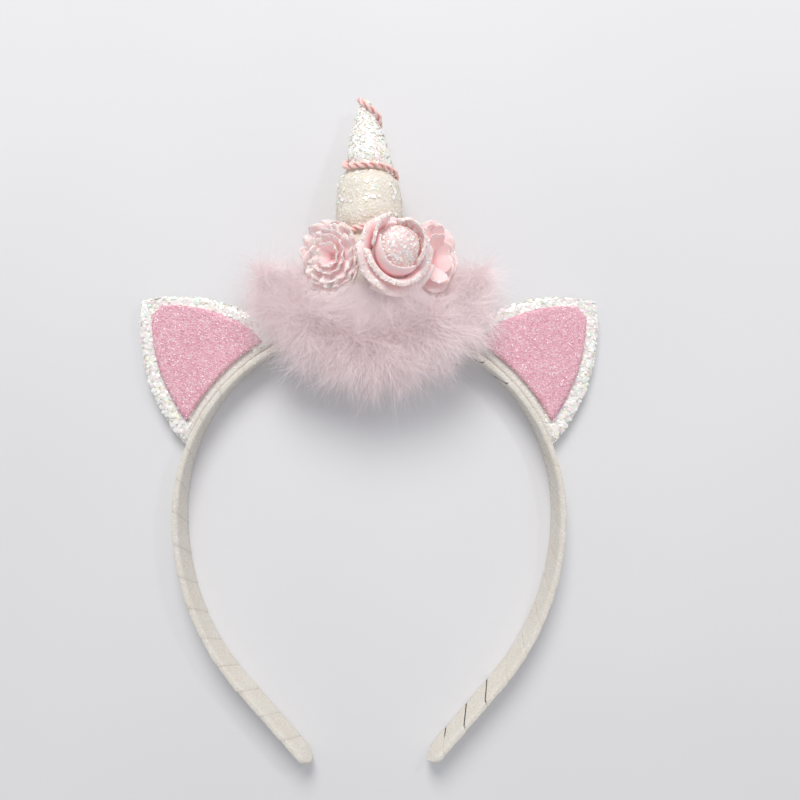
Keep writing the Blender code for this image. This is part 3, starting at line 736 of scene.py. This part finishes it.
# %% Petals
def rose_petal(turn, spread, foot, rim, low, high, roll, ripple, belly=0.0, rows=18, columns=26):
    """Across is an angle round the heart, up is from foot radius to rim radius; high at the middle."""
    u, v = np.meshgrid(np.linspace(-1, 1, columns), np.linspace(0, 1, rows), indexing="xy")
    angle = turn + u * spread * (0.55 + 0.45 * np.sin(math.pi / 2 * np.minimum(1, 1.5 * v)))
    dip = 1 - 0.30 * np.abs(u) ** 3 - 0.06 * np.cos(math.pi * u)
    curl = np.clip((v - 0.78) / 0.22, 0, 1)
    wave = ripple * v ** 3 * np.sin(5 * u + 3 * turn)
    radius = foot + (rim - foot) * v ** 1.5 + roll * curl * (1.2 - 0.4 * np.abs(u)) + 0.5 * wave
    radius += belly * np.sin(math.pi * v ** 0.8)
    radius -= 0.0006 * (1 - v) * u ** 2
    height = low + (high - low) * dip * np.sin(math.pi / 2 * v ** 0.85) - 0.85 * roll * curl ** 2 + wave
    return np.stack([radius * np.cos(angle), radius * np.sin(angle), height], axis=-1), v


def flat_petal(turn, start, reach, width, cup, ruffle, waves, phase, rows=16, columns=23):
    """Across is a width that swells and rounds off, out is from start to reach; the rim ripples."""
    u, v = np.meshgrid(np.linspace(-1, 1, columns), np.linspace(0, 1, rows), indexing="xy")
    swell = (0.30 + 0.70 * np.sin(math.pi / 2 * np.minimum(1, 1.25 * v))) * np.sqrt(
        1 - 0.62 * np.clip((v - 0.60) / 0.40, 0, 1) ** 2)
    out = start + (reach - start) * v * (1 - 0.10 * np.abs(u) ** 2 * v)
    side = width * u * swell
    height = cup * v ** 1.6 + ruffle * v ** 1.5 * np.sin(waves * u + phase) + 0.25 * cup * u ** 2 * v
    return np.stack([out * np.cos(turn) - side * np.sin(turn),
                     out * np.sin(turn) + side * np.cos(turn), height], axis=-1), v


def petal_shape(points, share, thickness):
    corners, quads = thin_sheet(points, thickness)
    return corners, quads, [], {"out": np.tile(share.ravel(), 2)}


def rim_chips(rng, points, count, chips_from, lift, size, tip, palette):
    """Chips on both faces of a petal, from a share of its height up to its rim."""
    weight = np.zeros((points.shape[0] - 1, points.shape[1] - 1))
    weight[int(chips_from * points.shape[0]):] = 1.0
    dust = []
    for surface in (points, points[:, ::-1]):
        places, normals = scatter(rng, surface, count, weight)
        dust.append(chips(rng, places + lift * normals, normals, size, tip, palette, sides=4))
    return dust


def leaned(points, place, nod, lean):
    """Shift up the horn by a share of the height, lean about Y, then move to the flower's foot."""
    nodding = points + points[..., 2:] * np.array([0, nod, 0])
    about_y = np.array([(math.cos(lean), 0, math.sin(lean)), (0, 1, 0), (-math.sin(lean), 0, math.cos(lean))])
    return nodding @ about_y.T + place


def petal_finish(name, heart, middle, rim, roughness=0.42, sheen=0.3):
    # The faint pink emission is a painted glow that brightens the petals.
    finish, shader = new_finish(name, middle, roughness, Sheen_Weight=sheen, Sheen_Roughness=0.4,
                                Subsurface_Weight=0.3, Subsurface_Scale=0.0012,
                                Emission_Color=(1.0, 0.72, 0.73, 1), Emission_Strength=0.07)
    link = finish.node_tree.links.new
    cloth = node(finish, "ShaderNodeTexNoise", {"Vector": object_point(finish)}, Scale=400, Detail=5)
    # Darker towards the petals' feet: partly the fabric's deeper pink, partly painted shade in the flower's
    # heart.
    shade = ramp(finish, stored(finish, "out").outputs["Fac"], ((0.16, heart), (0.42, middle), (1.0, rim)))
    tint = ramp(finish, cloth.outputs["Fac"], ((0.35, (0.95, 0.90, 0.90)), (0.65, (1.0, 1.0, 1.0))))
    link(mixed(finish, 0.5, shade, tint, "MULTIPLY"), shader.inputs["Base Color"])
    fine = node(finish, "ShaderNodeTexNoise", {"Vector": object_point(finish)}, Scale=2600, Detail=2)
    bumped(finish, shader, fine.outputs["Fac"], 0.00008, 0.5)
    return finish


# %% [markdown]
# The rose is a glittered bud with eleven petals laid round it, each with a row in a
# table: where it sits, how wide and tall it is, and how much its rim rolls over.

# %% Rose
FLOWERS_UP_HORN = 0.0186
ROSE_AROUND, ROSE_LEAN, ROSE_STAND = math.radians(33), math.radians(26), 0.0006
ROSE_NOD, ROSE_DROP = 0.45, 0.0014
BUD_RADIUS, BUD_HEIGHT, BUD_BELLY = 0.0072, 0.0098, 0.42     # the last is the widest place's share
WRAP_TURN = -125           # degrees, of the petal that wraps the bud
SATIN_WALL, ROSE_CHIP_SIZE = 0.00032, 0.0008
BUD_CHIPS, BUD_CHIP_SIZE = 950, 0.00085
ROSE_PETALS = (
    # turn, half spread in degrees, foot and rim radius, low, high, roll, ripple, belly in mm,
    # chips, share of the height that they start from
    (WRAP_TURN, 80, 6.2, 7.2, 0.8, 8.8, 0.2, 0.15, 1.7, 30, 0.86),
    (28, 74, 6.0, 6.3, 0.8, 10.2, 0.2, 0.20, 2.0, 560, 0.30),
    (-92, 84, 7.4, 10.9, 0.8, 6.7, 0.5, 0.55, 0.5, 420, 0.80),
    (148, 33, 8.0, 9.6, 1.2, 9.4, 0.4, 0.30, 0.4, 130, 0.80),
    (8, 40, 7.6, 9.8, 1.0, 6.2, 0.6, 0.45, 0.4, 140, 0.80),
    (92, 52, 7.2, 8.8, 1.0, 4.8, 0.5, 0.40, 0.3, 90, 0.80),
    (-70, 58, 7.6, 13.2, 0.4, 4.2, 0.5, 0.60, 0.4, 0, 0.80),
    (-146, 46, 7.6, 12.6, 0.4, 4.6, 0.7, 0.60, 0.4, 120, 0.80),
    (-14, 42, 7.6, 12.0, 0.4, 3.8, 0.6, 0.55, 0.4, 40, 0.80),
    (146, 40, 7.6, 11.8, 0.4, 4.4, 0.6, 0.55, 0.4, 100, 0.80),
    (60, 44, 7.2, 10.4, 0.4, 3.4, 0.6, 0.50, 0.4, 0, 0.80),
)
ROSE_GOLD_CHIPS = ((1.0, 0.97, 0.93), (0.99, 0.92, 0.84), (0.99, 0.88, 0.86), (0.95, 0.84, 0.76),
                   (1.0, 0.95, 0.95), (0.97, 0.90, 0.90))


def flower_foot(around, stand, drop=0.0):
    """Off the horn's skin, at an angle round it from its front."""
    up = FLOWERS_UP_HORN - drop
    plain = HORN_BASE_RADIUS * np.interp(up / HORN_LENGTH, HORN_OUTLINE[:, 0], HORN_OUTLINE[:, 1])
    return horn_axis(up) + (plain + stand) * np.array([math.sin(around), 0, math.cos(around)])


def rose_bud(rows=26, columns=36):
    """Egg turned round the rose's axis, with the low folds of petals that are still rolled up."""
    rise, angle = np.meshgrid(np.linspace(-0.25 * math.pi, 0.49 * math.pi, rows),
                              np.linspace(0, math.tau, columns, endpoint=False), indexing="ij")
    widest = BUD_BELLY * BUD_HEIGHT
    level = widest + np.where(rise > 0, BUD_HEIGHT - widest, widest / math.sin(0.25 * math.pi)) * np.sin(rise)
    fold = (angle / math.tau + 0.35 * rise) * 3 % 1
    radius = BUD_RADIUS * np.cos(rise) * (0.90 + 0.13 * fold)
    return np.stack([radius * np.cos(angle), radius * np.sin(angle), level], axis=-1), rise, angle


def build_rose(rng):
    place = flower_foot(ROSE_AROUND, ROSE_STAND, ROSE_DROP)
    egg, rise, angle = rose_bud()
    egg = leaned(egg, place, ROSE_NOD, ROSE_LEAN)
    corners, quads, triangles = rounded_tube(egg)
    shapes = [(corners, quads, triangles, {"out": np.full(len(corners), 0.5)})]
    wrapped = np.concatenate([egg, egg[:, :1]], axis=1)
    off_wrap = 1 - np.cos(angle[:-1] - math.radians(WRAP_TURN))
    bare = np.where((rise[:-1] > 0.25) | (off_wrap > 1.2), 1.0, 0.0) * (rise[:-1] > -0.3)
    places, normals = scatter(rng, wrapped, BUD_CHIPS, bare)
    dust = [chips(rng, places, normals, BUD_CHIP_SIZE, 0.35, ROSE_GOLD_CHIPS, sides=4)]
    for turn, spread, foot, rim, low, high, roll, ripple, belly, chip_count, chips_from in ROSE_PETALS:
        points, share = rose_petal(math.radians(turn), math.radians(spread), foot * MM, rim * MM, low * MM,
                                   high * MM, roll * MM, ripple * MM, belly * MM)
        points = leaned(points, place, ROSE_NOD, ROSE_LEAN)
        shapes.append(petal_shape(points, share, SATIN_WALL))
        if chip_count:
            dust += rim_chips(rng, points, chip_count // 2, chips_from, SATIN_WALL / 2, ROSE_CHIP_SIZE,
                              0.4, ROSE_GOLD_CHIPS)
    corners, quads, triangles, values = joined(shapes)
    # The deep red heart colour is partly the satin's own and partly painted shade deep in the rose.
    satin = petal_finish("satin_petals", (0.56, 0.06, 0.09), (0.97, 0.66, 0.67), (0.98, 0.82, 0.81))
    rose = piece("rose_petals", corners, quads, triangles, satin, values)
    corners, quads, triangles, values = joined(dust)
    glitter = piece("rose_glitter", corners, quads, triangles, CHIP_FINISH, values, smooth=False)
    for thing in (rose, glitter):
        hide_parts("rose")


build_rose(np.random.default_rng(3))

# %% [markdown]
# The side flowers are layers of flat chiffon petals, the smaller ones cupped more.
# The frilled one ripples often along its rims, and the plain one only a little.

# %% Frilled flower and plain flower
FRILL_AROUND, FRILL_LEAN, FRILL_STAND = math.radians(-62), math.radians(-22), 0.0007
BLOOM_LEAN = math.radians(20)
TRIM_SHIFT = 0.0015
BLOOM_X, BLOOM_LEVEL = 0.0190, 0.0118
CHIFFON_WALL = 0.00022
RIM_FROM, RIM_CHIP_LIFT, RIM_CHIP_SIZE = 0.85, 0.0001, 0.0006
FRILL_LAYERS = (
    # petals, start, reach, half width, cup, ruffle, waves, turn, in mm
    (6, 0.8, 12.2, 7.0, 1.6, 0.9, 6.5, 0.0),
    (6, 0.8, 10.8, 6.4, 2.6, 1.0, 7.0, 0.5),
    (6, 0.6, 8.8, 5.4, 3.6, 1.0, 7.0, 0.2),
    (5, 0.5, 6.4, 4.4, 4.4, 0.9, 6.5, 0.8),
    (4, 0.3, 3.8, 3.0, 4.8, 0.7, 6.0, 0.1),
)
BLOOM_LAYERS = (
    (5, 1.0, 12.8, 7.8, 1.8, 0.6, 3.5, 0.3),
    (5, 0.8, 10.8, 6.8, 3.6, 0.6, 4.0, 0.9),
    (4, 0.5, 7.6, 5.0, 5.6, 0.6, 5.0, 0.1),
)


def build_flower(name, layers, place, lean, squeeze, finish, rng, chip_count, node_name):
    shapes, dust = [], []
    for petals, start, reach, width, cup, ruffle, waves, turn in layers:
        for number in range(petals):
            points, share = flat_petal(turn + math.tau * number / petals, start * MM, reach * MM, width * MM,
                                       cup * MM, ruffle * MM, waves, rng.random() * math.tau)
            points = points * (1 + 0.05 * rng.normal()) * np.array([squeeze, 1, 1]) + (0, 0, 0.0008)
            points = leaned(points, place, 0.0, lean)
            shapes.append(petal_shape(points, share, CHIFFON_WALL))
            dust += rim_chips(rng, points, chip_count, RIM_FROM, RIM_CHIP_LIFT, RIM_CHIP_SIZE,
                              0.5, PEARL_CHIPS)
    corners, quads, triangles, values = joined(shapes)
    flower = piece(f"{name}_petals", corners, quads, triangles, finish, values)
    corners, quads, triangles, values = joined(dust)
    glitter = piece(f"{name}_glitter", corners, quads, triangles, CHIP_FINISH, values, smooth=False)
    for thing in (flower, glitter):
        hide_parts(node_name)


# The heart colour is partly the chiffon's deeper pink and partly painted shade in the flower's middle.
CHIFFON = petal_finish("chiffon_petals", (0.84, 0.42, 0.44), (0.97, 0.72, 0.73), (0.98, 0.82, 0.82),
                       roughness=0.6, sheen=0.4)
build_flower("frilled_flower", FRILL_LAYERS, flower_foot(FRILL_AROUND, FRILL_STAND), FRILL_LEAN,
             0.85, CHIFFON, np.random.default_rng(8), 64, "flower_left")
build_flower("plain_flower", BLOOM_LAYERS,
             np.array([BLOOM_X, horn_axis(FLOWERS_UP_HORN)[1], BLOOM_LEVEL]), BLOOM_LEAN,
             0.66, CHIFFON, np.random.default_rng(9), 12, "flower_right")

# %% [markdown]
# ## Feather trim
# Down feathers have a soft quill with hundreds of long limp barbs on both sides,
# and together they make a haze with no hard edge.  Blender's hair strands aren't
# meshes, so each barb here is a real three-sided sliver: a quill curves from the
# trim's core out to the trim's outline, and its barbs leave it at a slant, bend
# along it and droop.

# %% Core and outline of the trim
TRIM_LOOP_Y, TRIM_BESIDE_HORN, TRIM_BELOW_HORN = 0.0140, 0.0059, 0.0028
TRIM_LOOP_END = math.radians(112)
TRIM_CORE_DEPTH, TRIM_CORE_HEIGHT, TRIM_SIDE_HEIGHT = 0.0046, 0.0054, 0.0095
TRIM_END_LEVEL = 0.0068
TRIM_WIDEN, TRIM_FALL = (0.35, 0.80), (0.42, 0.75)
TRIM_LOOP_SIDE = HORN_BASE_RADIUS + TRIM_BESIDE_HORN + TRIM_SIDE_HEIGHT
TRIM_LOOP_DOWN = TRIM_LOOP_Y + TRIM_CORE_HEIGHT - HOOP_WALL / 2 - GAP + TRIM_BELOW_HORN
TRIM_HUB = np.array([TRIM_SHIFT, 0.0060])
TRIM_SIDE, TRIM_DOWN, TRIM_UP = 0.0435, 0.0310, 0.0155
CORE_SEEN = math.radians(88)      # the loop's last stretch is feathers alone
CORE_FULLNESS = 0.86


def trim_core(turn, angle, fullness=1.0):
    """Oval section carried along a loop that is high over the crown and low beside the horn."""
    share = np.abs(turn) / TRIM_LOOP_END
    swell = fullness * np.sqrt(1 - (0.9 * share) ** 6)
    over_band = HOOP_WIDTH + GAP + TRIM_CORE_DEPTH
    level = over_band + (TRIM_END_LEVEL - over_band) * passed(share, TRIM_FALL) ** 1.3
    half = TRIM_CORE_HEIGHT + (TRIM_SIDE_HEIGHT - TRIM_CORE_HEIGHT) * passed(share, TRIM_WIDEN)
    outward = half * swell * np.sin(angle)
    return np.stack([TRIM_SHIFT + (TRIM_LOOP_SIDE + outward) * np.sin(turn),
                     TRIM_LOOP_Y - (TRIM_LOOP_DOWN + outward) * np.cos(turn),
                     level + TRIM_CORE_DEPTH * swell * np.cos(angle)], axis=-1)


def trim_reach(heading):
    """Distance from the hub to the outline, an egg with its flatter half up."""
    tall = np.where(np.sin(heading) > 0, TRIM_UP, TRIM_DOWN)
    return 1 / np.hypot(np.cos(heading) / TRIM_SIDE, np.sin(heading) / tall)


# %% [markdown]
# Down scatters light between its barbs, so it looks paler at the tips than at the
# quills; that is painted into the colour: each corner stores how far out it is,
# and a ramp turns that to colour.  A faint pink emission is a painted glow for
# the light that scatters through the down.

# %% Feather finish
def feather_finish():
    finish, shader = new_finish("down", (0.9, 0.75, 0.78), 0.75, Sheen_Weight=0.6, Sheen_Roughness=0.5,
                                Emission_Color=(1.0, 0.83, 0.84, 1), Emission_Strength=0.06)
    hue = ramp(finish, stored(finish, "out").outputs["Fac"], (
        (0.0, (0.95, 0.80, 0.81)), (0.5, (0.95, 0.85, 0.86)), (1.0, (0.95, 0.89, 0.895))))
    finish.node_tree.links.new(hue, shader.inputs["Base Color"])
    return finish


# %% [markdown]
# Quills leave the core in a curve with one handle, and barbs leave the quills in
# the same way at a smaller size.  All of a tuft's barbs are worked out at once, as
# arrays of quill by barb by point, and then kept clear of the table and the horn.

# %% Quills and barbs
BARB_SHARES = np.array([0.0, 0.45, 1.0])
BARB_LENGTH = 0.0100


def slivers(lines, thickness, out):
    """Three-sided tapering slivers along lines (n, k, 3), pointed at their ends."""
    count, steps = lines.shape[:2]
    along = unit(np.gradient(lines, axis=1))
    side = unit(np.cross(along, np.array([0.31, 0.52, 0.79])))
    other = np.cross(along, side)
    taper = thickness / 2 * (1 - 0.75 * np.linspace(0, 1, steps)[None, :-1, None, None] ** 1.5)
    turn = np.arange(3) * math.tau / 3
    rings = lines[:, :-1, None] + taper * (np.cos(turn)[:, None] * side[:, :-1, None]
                                         + np.sin(turn)[:, None] * other[:, :-1, None])
    corners = np.concatenate([rings.reshape(count, -1, 3), lines[:, -1:]], axis=1)
    near, after = np.arange(3), np.array([1, 2, 0])
    quads = np.concatenate([np.stack([near, after, after + 3, near + 3], axis=-1) + 3 * row
                            for row in range(steps - 2)])
    last = 3 * (steps - 2)
    triangles = np.concatenate([np.stack([near + last, after + last, np.full(3, 3 * (steps - 1))], axis=-1),
                                [[0, 2, 1]]])
    shift = np.arange(count)[:, None, None] * (3 * (steps - 1) + 1)
    spread = np.concatenate([np.repeat(out[:, :-1], 3, axis=1), out[:, -1:]], axis=1)
    return (corners.reshape(-1, 3), (shift + quads).reshape(-1, 4), (shift + triangles).reshape(-1, 3),
            {"out": spread.ravel()})


def bend(start, lift, end, share):
    """Curve with one handle: (1-t)^2 start + 2t(1-t) lift + t^2 end."""
    share = share[..., None]
    return (1 - share) ** 2 * start + 2 * share * (1 - share) * lift + share ** 2 * end


def quill_ends(rng, count, turns, angles, inner_share):
    """Where quills leave the core, the handle that lifts them off it, and where they end."""
    turn = rng.uniform(*turns, count)
    angle = rng.uniform(*angles, count)
    root = trim_core(turn, angle, 0.8)
    normal = unit(trim_core(turn, angle, 1.6) - root)
    away = root[:, :2] - TRIM_HUB
    heading = np.arctan2(away[:, 1], away[:, 0]) + 0.22 * rng.normal(size=count)
    reach = trim_reach(heading)
    share = np.where(rng.random(count) < inner_share, rng.uniform(0.44, 0.68, count),
                     rng.uniform(0.64, 0.92, count))
    end_level = np.where(share > 0.66, rng.uniform(0.003, 0.014, count), rng.uniform(0.012, 0.021, count))
    end = np.concatenate([TRIM_HUB + (reach * share)[:, None] * np.stack([np.cos(heading), np.sin(heading)],
                                                                       axis=-1), end_level[:, None]], axis=1)
    length = np.linalg.norm(end - root, axis=1, keepdims=True)
    return root, root + normal * length * 0.55, end


def inner_quill_ends(rng, count, turns):
    """Quills on the core's inner side, which stand up and lean in over the horn's foot."""
    turn = rng.uniform(*turns, count)
    angle = np.radians(rng.uniform(-125, 15, count))
    root = trim_core(turn, angle, 0.8)
    inward = unit(np.array([TRIM_SHIFT, 0.016]) - root[:, :2])
    run = rng.uniform(0.003, 0.012, count)[:, None]
    rise = rng.uniform(0.002, 0.0075, count)[:, None]
    end = np.concatenate([root[:, :2] + inward * run, root[:, 2:] + rise], axis=1)
    return root, root + np.concatenate([0.1 * run * inward, 0.9 * rise + 0.002], axis=1), end


def feather_barbs(rng, root, lift, end, per_quill):
    """Barbs leave both sides of each quill at a slant that closes towards its tip."""
    quills = len(root)
    share = np.sort(rng.random((quills, per_quill)) ** 0.8, axis=1) * 0.97 + 0.03
    start = bend(root[:, None], lift[:, None], end[:, None], share)
    ahead = bend(root[:, None], lift[:, None], end[:, None], share + 0.01)
    along = unit(ahead - start)
    plane = unit(np.cross(along, unit(rng.normal(size=(quills, 1, 3)))))
    other = np.cross(along, plane)
    side = np.where(rng.random((quills, per_quill, 1)) < 0.5, 1.0, -1.0)
    tilt = 0.55 * rng.normal(size=(quills, per_quill, 1))
    sideways = unit(side * plane + tilt * other)
    slant = np.radians(62 - 40 * share)[..., None] * (0.5 + rng.random((quills, per_quill, 1)))
    leave = np.cos(slant) * along + np.sin(slant) * sideways
    swell = BARB_LENGTH * (0.55 + 0.45 * np.sin(math.pi * share ** 0.7))
    length = swell * rng.uniform(0.6, 1.25, share.shape)
    s = BARB_SHARES[None, None, :, None]
    length = length[:, :, None, None]
    wander = rng.normal(size=(quills, per_quill, 1, 3)) * 0.28
    lines = (start[:, :, None] + leave[:, :, None] * length * s + 0.30 * along[:, :, None] * length * s ** 2
             + wander * length * s ** 2 + np.array([0, 0, -0.10]) * length * s ** 2)
    lines = lines.reshape(-1, len(BARB_SHARES), 3)
    out = np.clip(share[:, :, None] * 0.6 + 0.4 * BARB_SHARES, 0, 1).reshape(-1, len(BARB_SHARES))
    return lines, out


UNDER_FLOWERS = (
    # middle, half width and length of each side flower, and the level that barbs keep under
    (0.0215, 0.0200, 0.0095, 0.0130, 0.0115),
    (-0.0135, 0.0200, 0.0085, 0.0125, 0.0150),
)


def clear_of_neighbours(lines):
    """Slivers keep over the table, under the side flowers and outside the horn."""
    lines[..., 2] = np.maximum(lines[..., 2], 0.0005)
    for x, y, wide, tall, level in UNDER_FLOWERS:
        inside = ((lines[..., 0] - x) / wide) ** 2 + ((lines[..., 1] - y) / tall) ** 2 < 1
        lines[..., 2] = np.where(inside, np.minimum(lines[..., 2], level), lines[..., 2])
    beside = (lines[..., 1] > HORN_FOOT) & (lines[..., 1] < 0.040)
    axis = horn_axis(np.clip(lines[..., 1] - HORN_FOOT, 0, HORN_LENGTH))
    away = lines - axis
    away[..., 1] = 0
    far = np.linalg.norm(away, axis=-1)
    need = horn_radius(np.clip(lines[..., 1] - HORN_FOOT, 0, HORN_LENGTH)) + 0.0004
    push = np.where(beside & (far < need), need / np.maximum(far, 1e-6) - 1, 0)
    return lines + away * push[..., None]


TUFTS = (
    # name, outer quills, inner quills, range of turns in degrees, share that stays near
    ("left", 110, 42, (-101, -42), 0.60),
    ("middle_left", 108, 44, (-52, 4), 0.64),
    ("middle_right", 108, 44, (-4, 52), 0.64),
    ("right", 110, 42, (42, 99), 0.60),
)
BARBS_PER_QUILL = 104
BARB_THICKNESS = 0.00008
STEM_THICKNESS = 2.2 * BARB_THICKNESS


def build_trim():
    finish = feather_finish()
    turn = np.linspace(-CORE_SEEN, CORE_SEEN, 90)[:, None]
    angle = np.linspace(0, math.tau, 28, endpoint=False)[None, :]
    core = trim_core(turn + 0 * angle, angle + 0 * turn, CORE_FULLNESS)
    corners, quads, triangles = rounded_tube(core)
    base = piece("trim_core", corners, quads, triangles, finish, {"out": np.full(len(corners), 0.2)})
    things = [base]
    for seed, (name, outer, inner, turns, near) in enumerate(TUFTS):
        rng = np.random.default_rng(40 + seed)
        quills = outer + inner
        kinds = (quill_ends(rng, outer, np.radians(turns), np.radians((-40, 125)), near),
                 inner_quill_ends(rng, inner, np.radians(turns)))
        root, lift, end = (np.concatenate(pair) for pair in zip(*kinds))
        lines, out = feather_barbs(rng, root, lift, end, BARBS_PER_QUILL)
        share = np.linspace(0, 1, len(BARB_SHARES))[None, :]
        stems = bend(root[:, None], lift[:, None], end[:, None], np.repeat(share, quills, axis=0))
        stem_out = np.repeat(share * 0.5, quills, axis=0)
        shapes = [slivers(clear_of_neighbours(lines), BARB_THICKNESS, out),
                  slivers(clear_of_neighbours(stems), STEM_THICKNESS, stem_out)]
        corners, quads, triangles, values = joined(shapes)
        things.append(piece(f"feathers_{name}", corners, quads, triangles, finish, values, smooth=False))
    for thing in things:
        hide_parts("fur_trim")


build_trim()

# %% [markdown]
# ## Camera and light
# The headband is seen from straight above, from about 29 cm, with the frame's
# top towards the horn.  The light is a pale sky with one soft lamp above the
# horn's tip, as from a window, and a small hard one that makes glitter glint.

# %% Camera, light and table
CAMERA_HEIGHT = 0.290
CAMERA_PLACE = Vector((0.0032, -0.0247, CAMERA_HEIGHT))
CAMERA_TARGET = Vector((0.0099, -0.0247, 0.0))
FOCAL_PIXELS = 868
FRAME_PIXELS = 800
TABLE_HALF = 1.5
SKY_STRENGTH = 0.52
LIGHT_AIM = Vector((0, -0.03, 0))


def area_light(name, place, size, power, colour=(1, 1, 1)):
    lamp = bpy.data.lights.new(name, "AREA")
    lamp.shape = "DISK"
    lamp.size = size
    lamp.energy = power
    lamp.color = colour
    thing = bpy.data.objects.new(name, lamp)
    thing.location = place
    thing.rotation_euler = (LIGHT_AIM - Vector(place)).to_track_quat("-Z", "Y").to_euler()
    bpy.context.scene.collection.objects.link(thing)


def build_set():
    lens = bpy.data.cameras.new("camera")
    lens.sensor_width = 36
    lens.lens = 36 * FOCAL_PIXELS / FRAME_PIXELS
    lens.clip_start = 0.01
    camera = bpy.data.objects.new("camera", lens)
    camera.location = CAMERA_PLACE
    toward = CAMERA_TARGET - CAMERA_PLACE
    camera.rotation_euler = (0.0, math.atan2(-toward.x, -toward.z), 0.0)
    bpy.context.scene.collection.objects.link(camera)
    bpy.context.scene.camera = camera

    table_finish, shader = new_finish("pale_table", (0.80, 0.80, 0.82), 0.6)
    tone = node(table_finish, "ShaderNodeTexNoise", {"Vector": object_point(table_finish)}, Scale=6, Detail=2)
    table_finish.node_tree.links.new(
        ramp(table_finish, tone.outputs["Fac"], ((0.3, (0.79, 0.79, 0.81)), (0.7, (0.83, 0.83, 0.845)))),
        shader.inputs["Base Color"])
    half = TABLE_HALF
    flat = np.array([(-half, -half, 0), (half, -half, 0), (half, half, 0), (-half, half, 0)])
    mesh = bpy.data.meshes.new("table")
    mesh.from_pydata(flat.tolist(), [], [(0, 1, 2, 3)])
    mesh.materials.append(table_finish)
    table = bpy.data.objects.new("table", mesh)
    bpy.context.scene.collection.objects.link(table)

    world = bpy.data.worlds.new("daylight")
    world.use_nodes = True
    sky = world.node_tree.nodes["Background"]
    sky.inputs["Color"].default_value = (0.95, 0.96, 1.0, 1)
    sky.inputs["Strength"].default_value = SKY_STRENGTH
    bpy.context.scene.world = world
    area_light("key", (-0.10, 0.88, 0.88), 0.62, 9.8, (1.0, 0.98, 0.95))
    area_light("glint", (0.35, 0.25, 0.5), 0.04, 0.25)
    bpy.context.scene.view_settings.view_transform = "Standard"


build_set()

# %% [markdown]
# The last cell updates the scene's view layer.

# %% Close the lesson
bpy.context.view_layer.update()
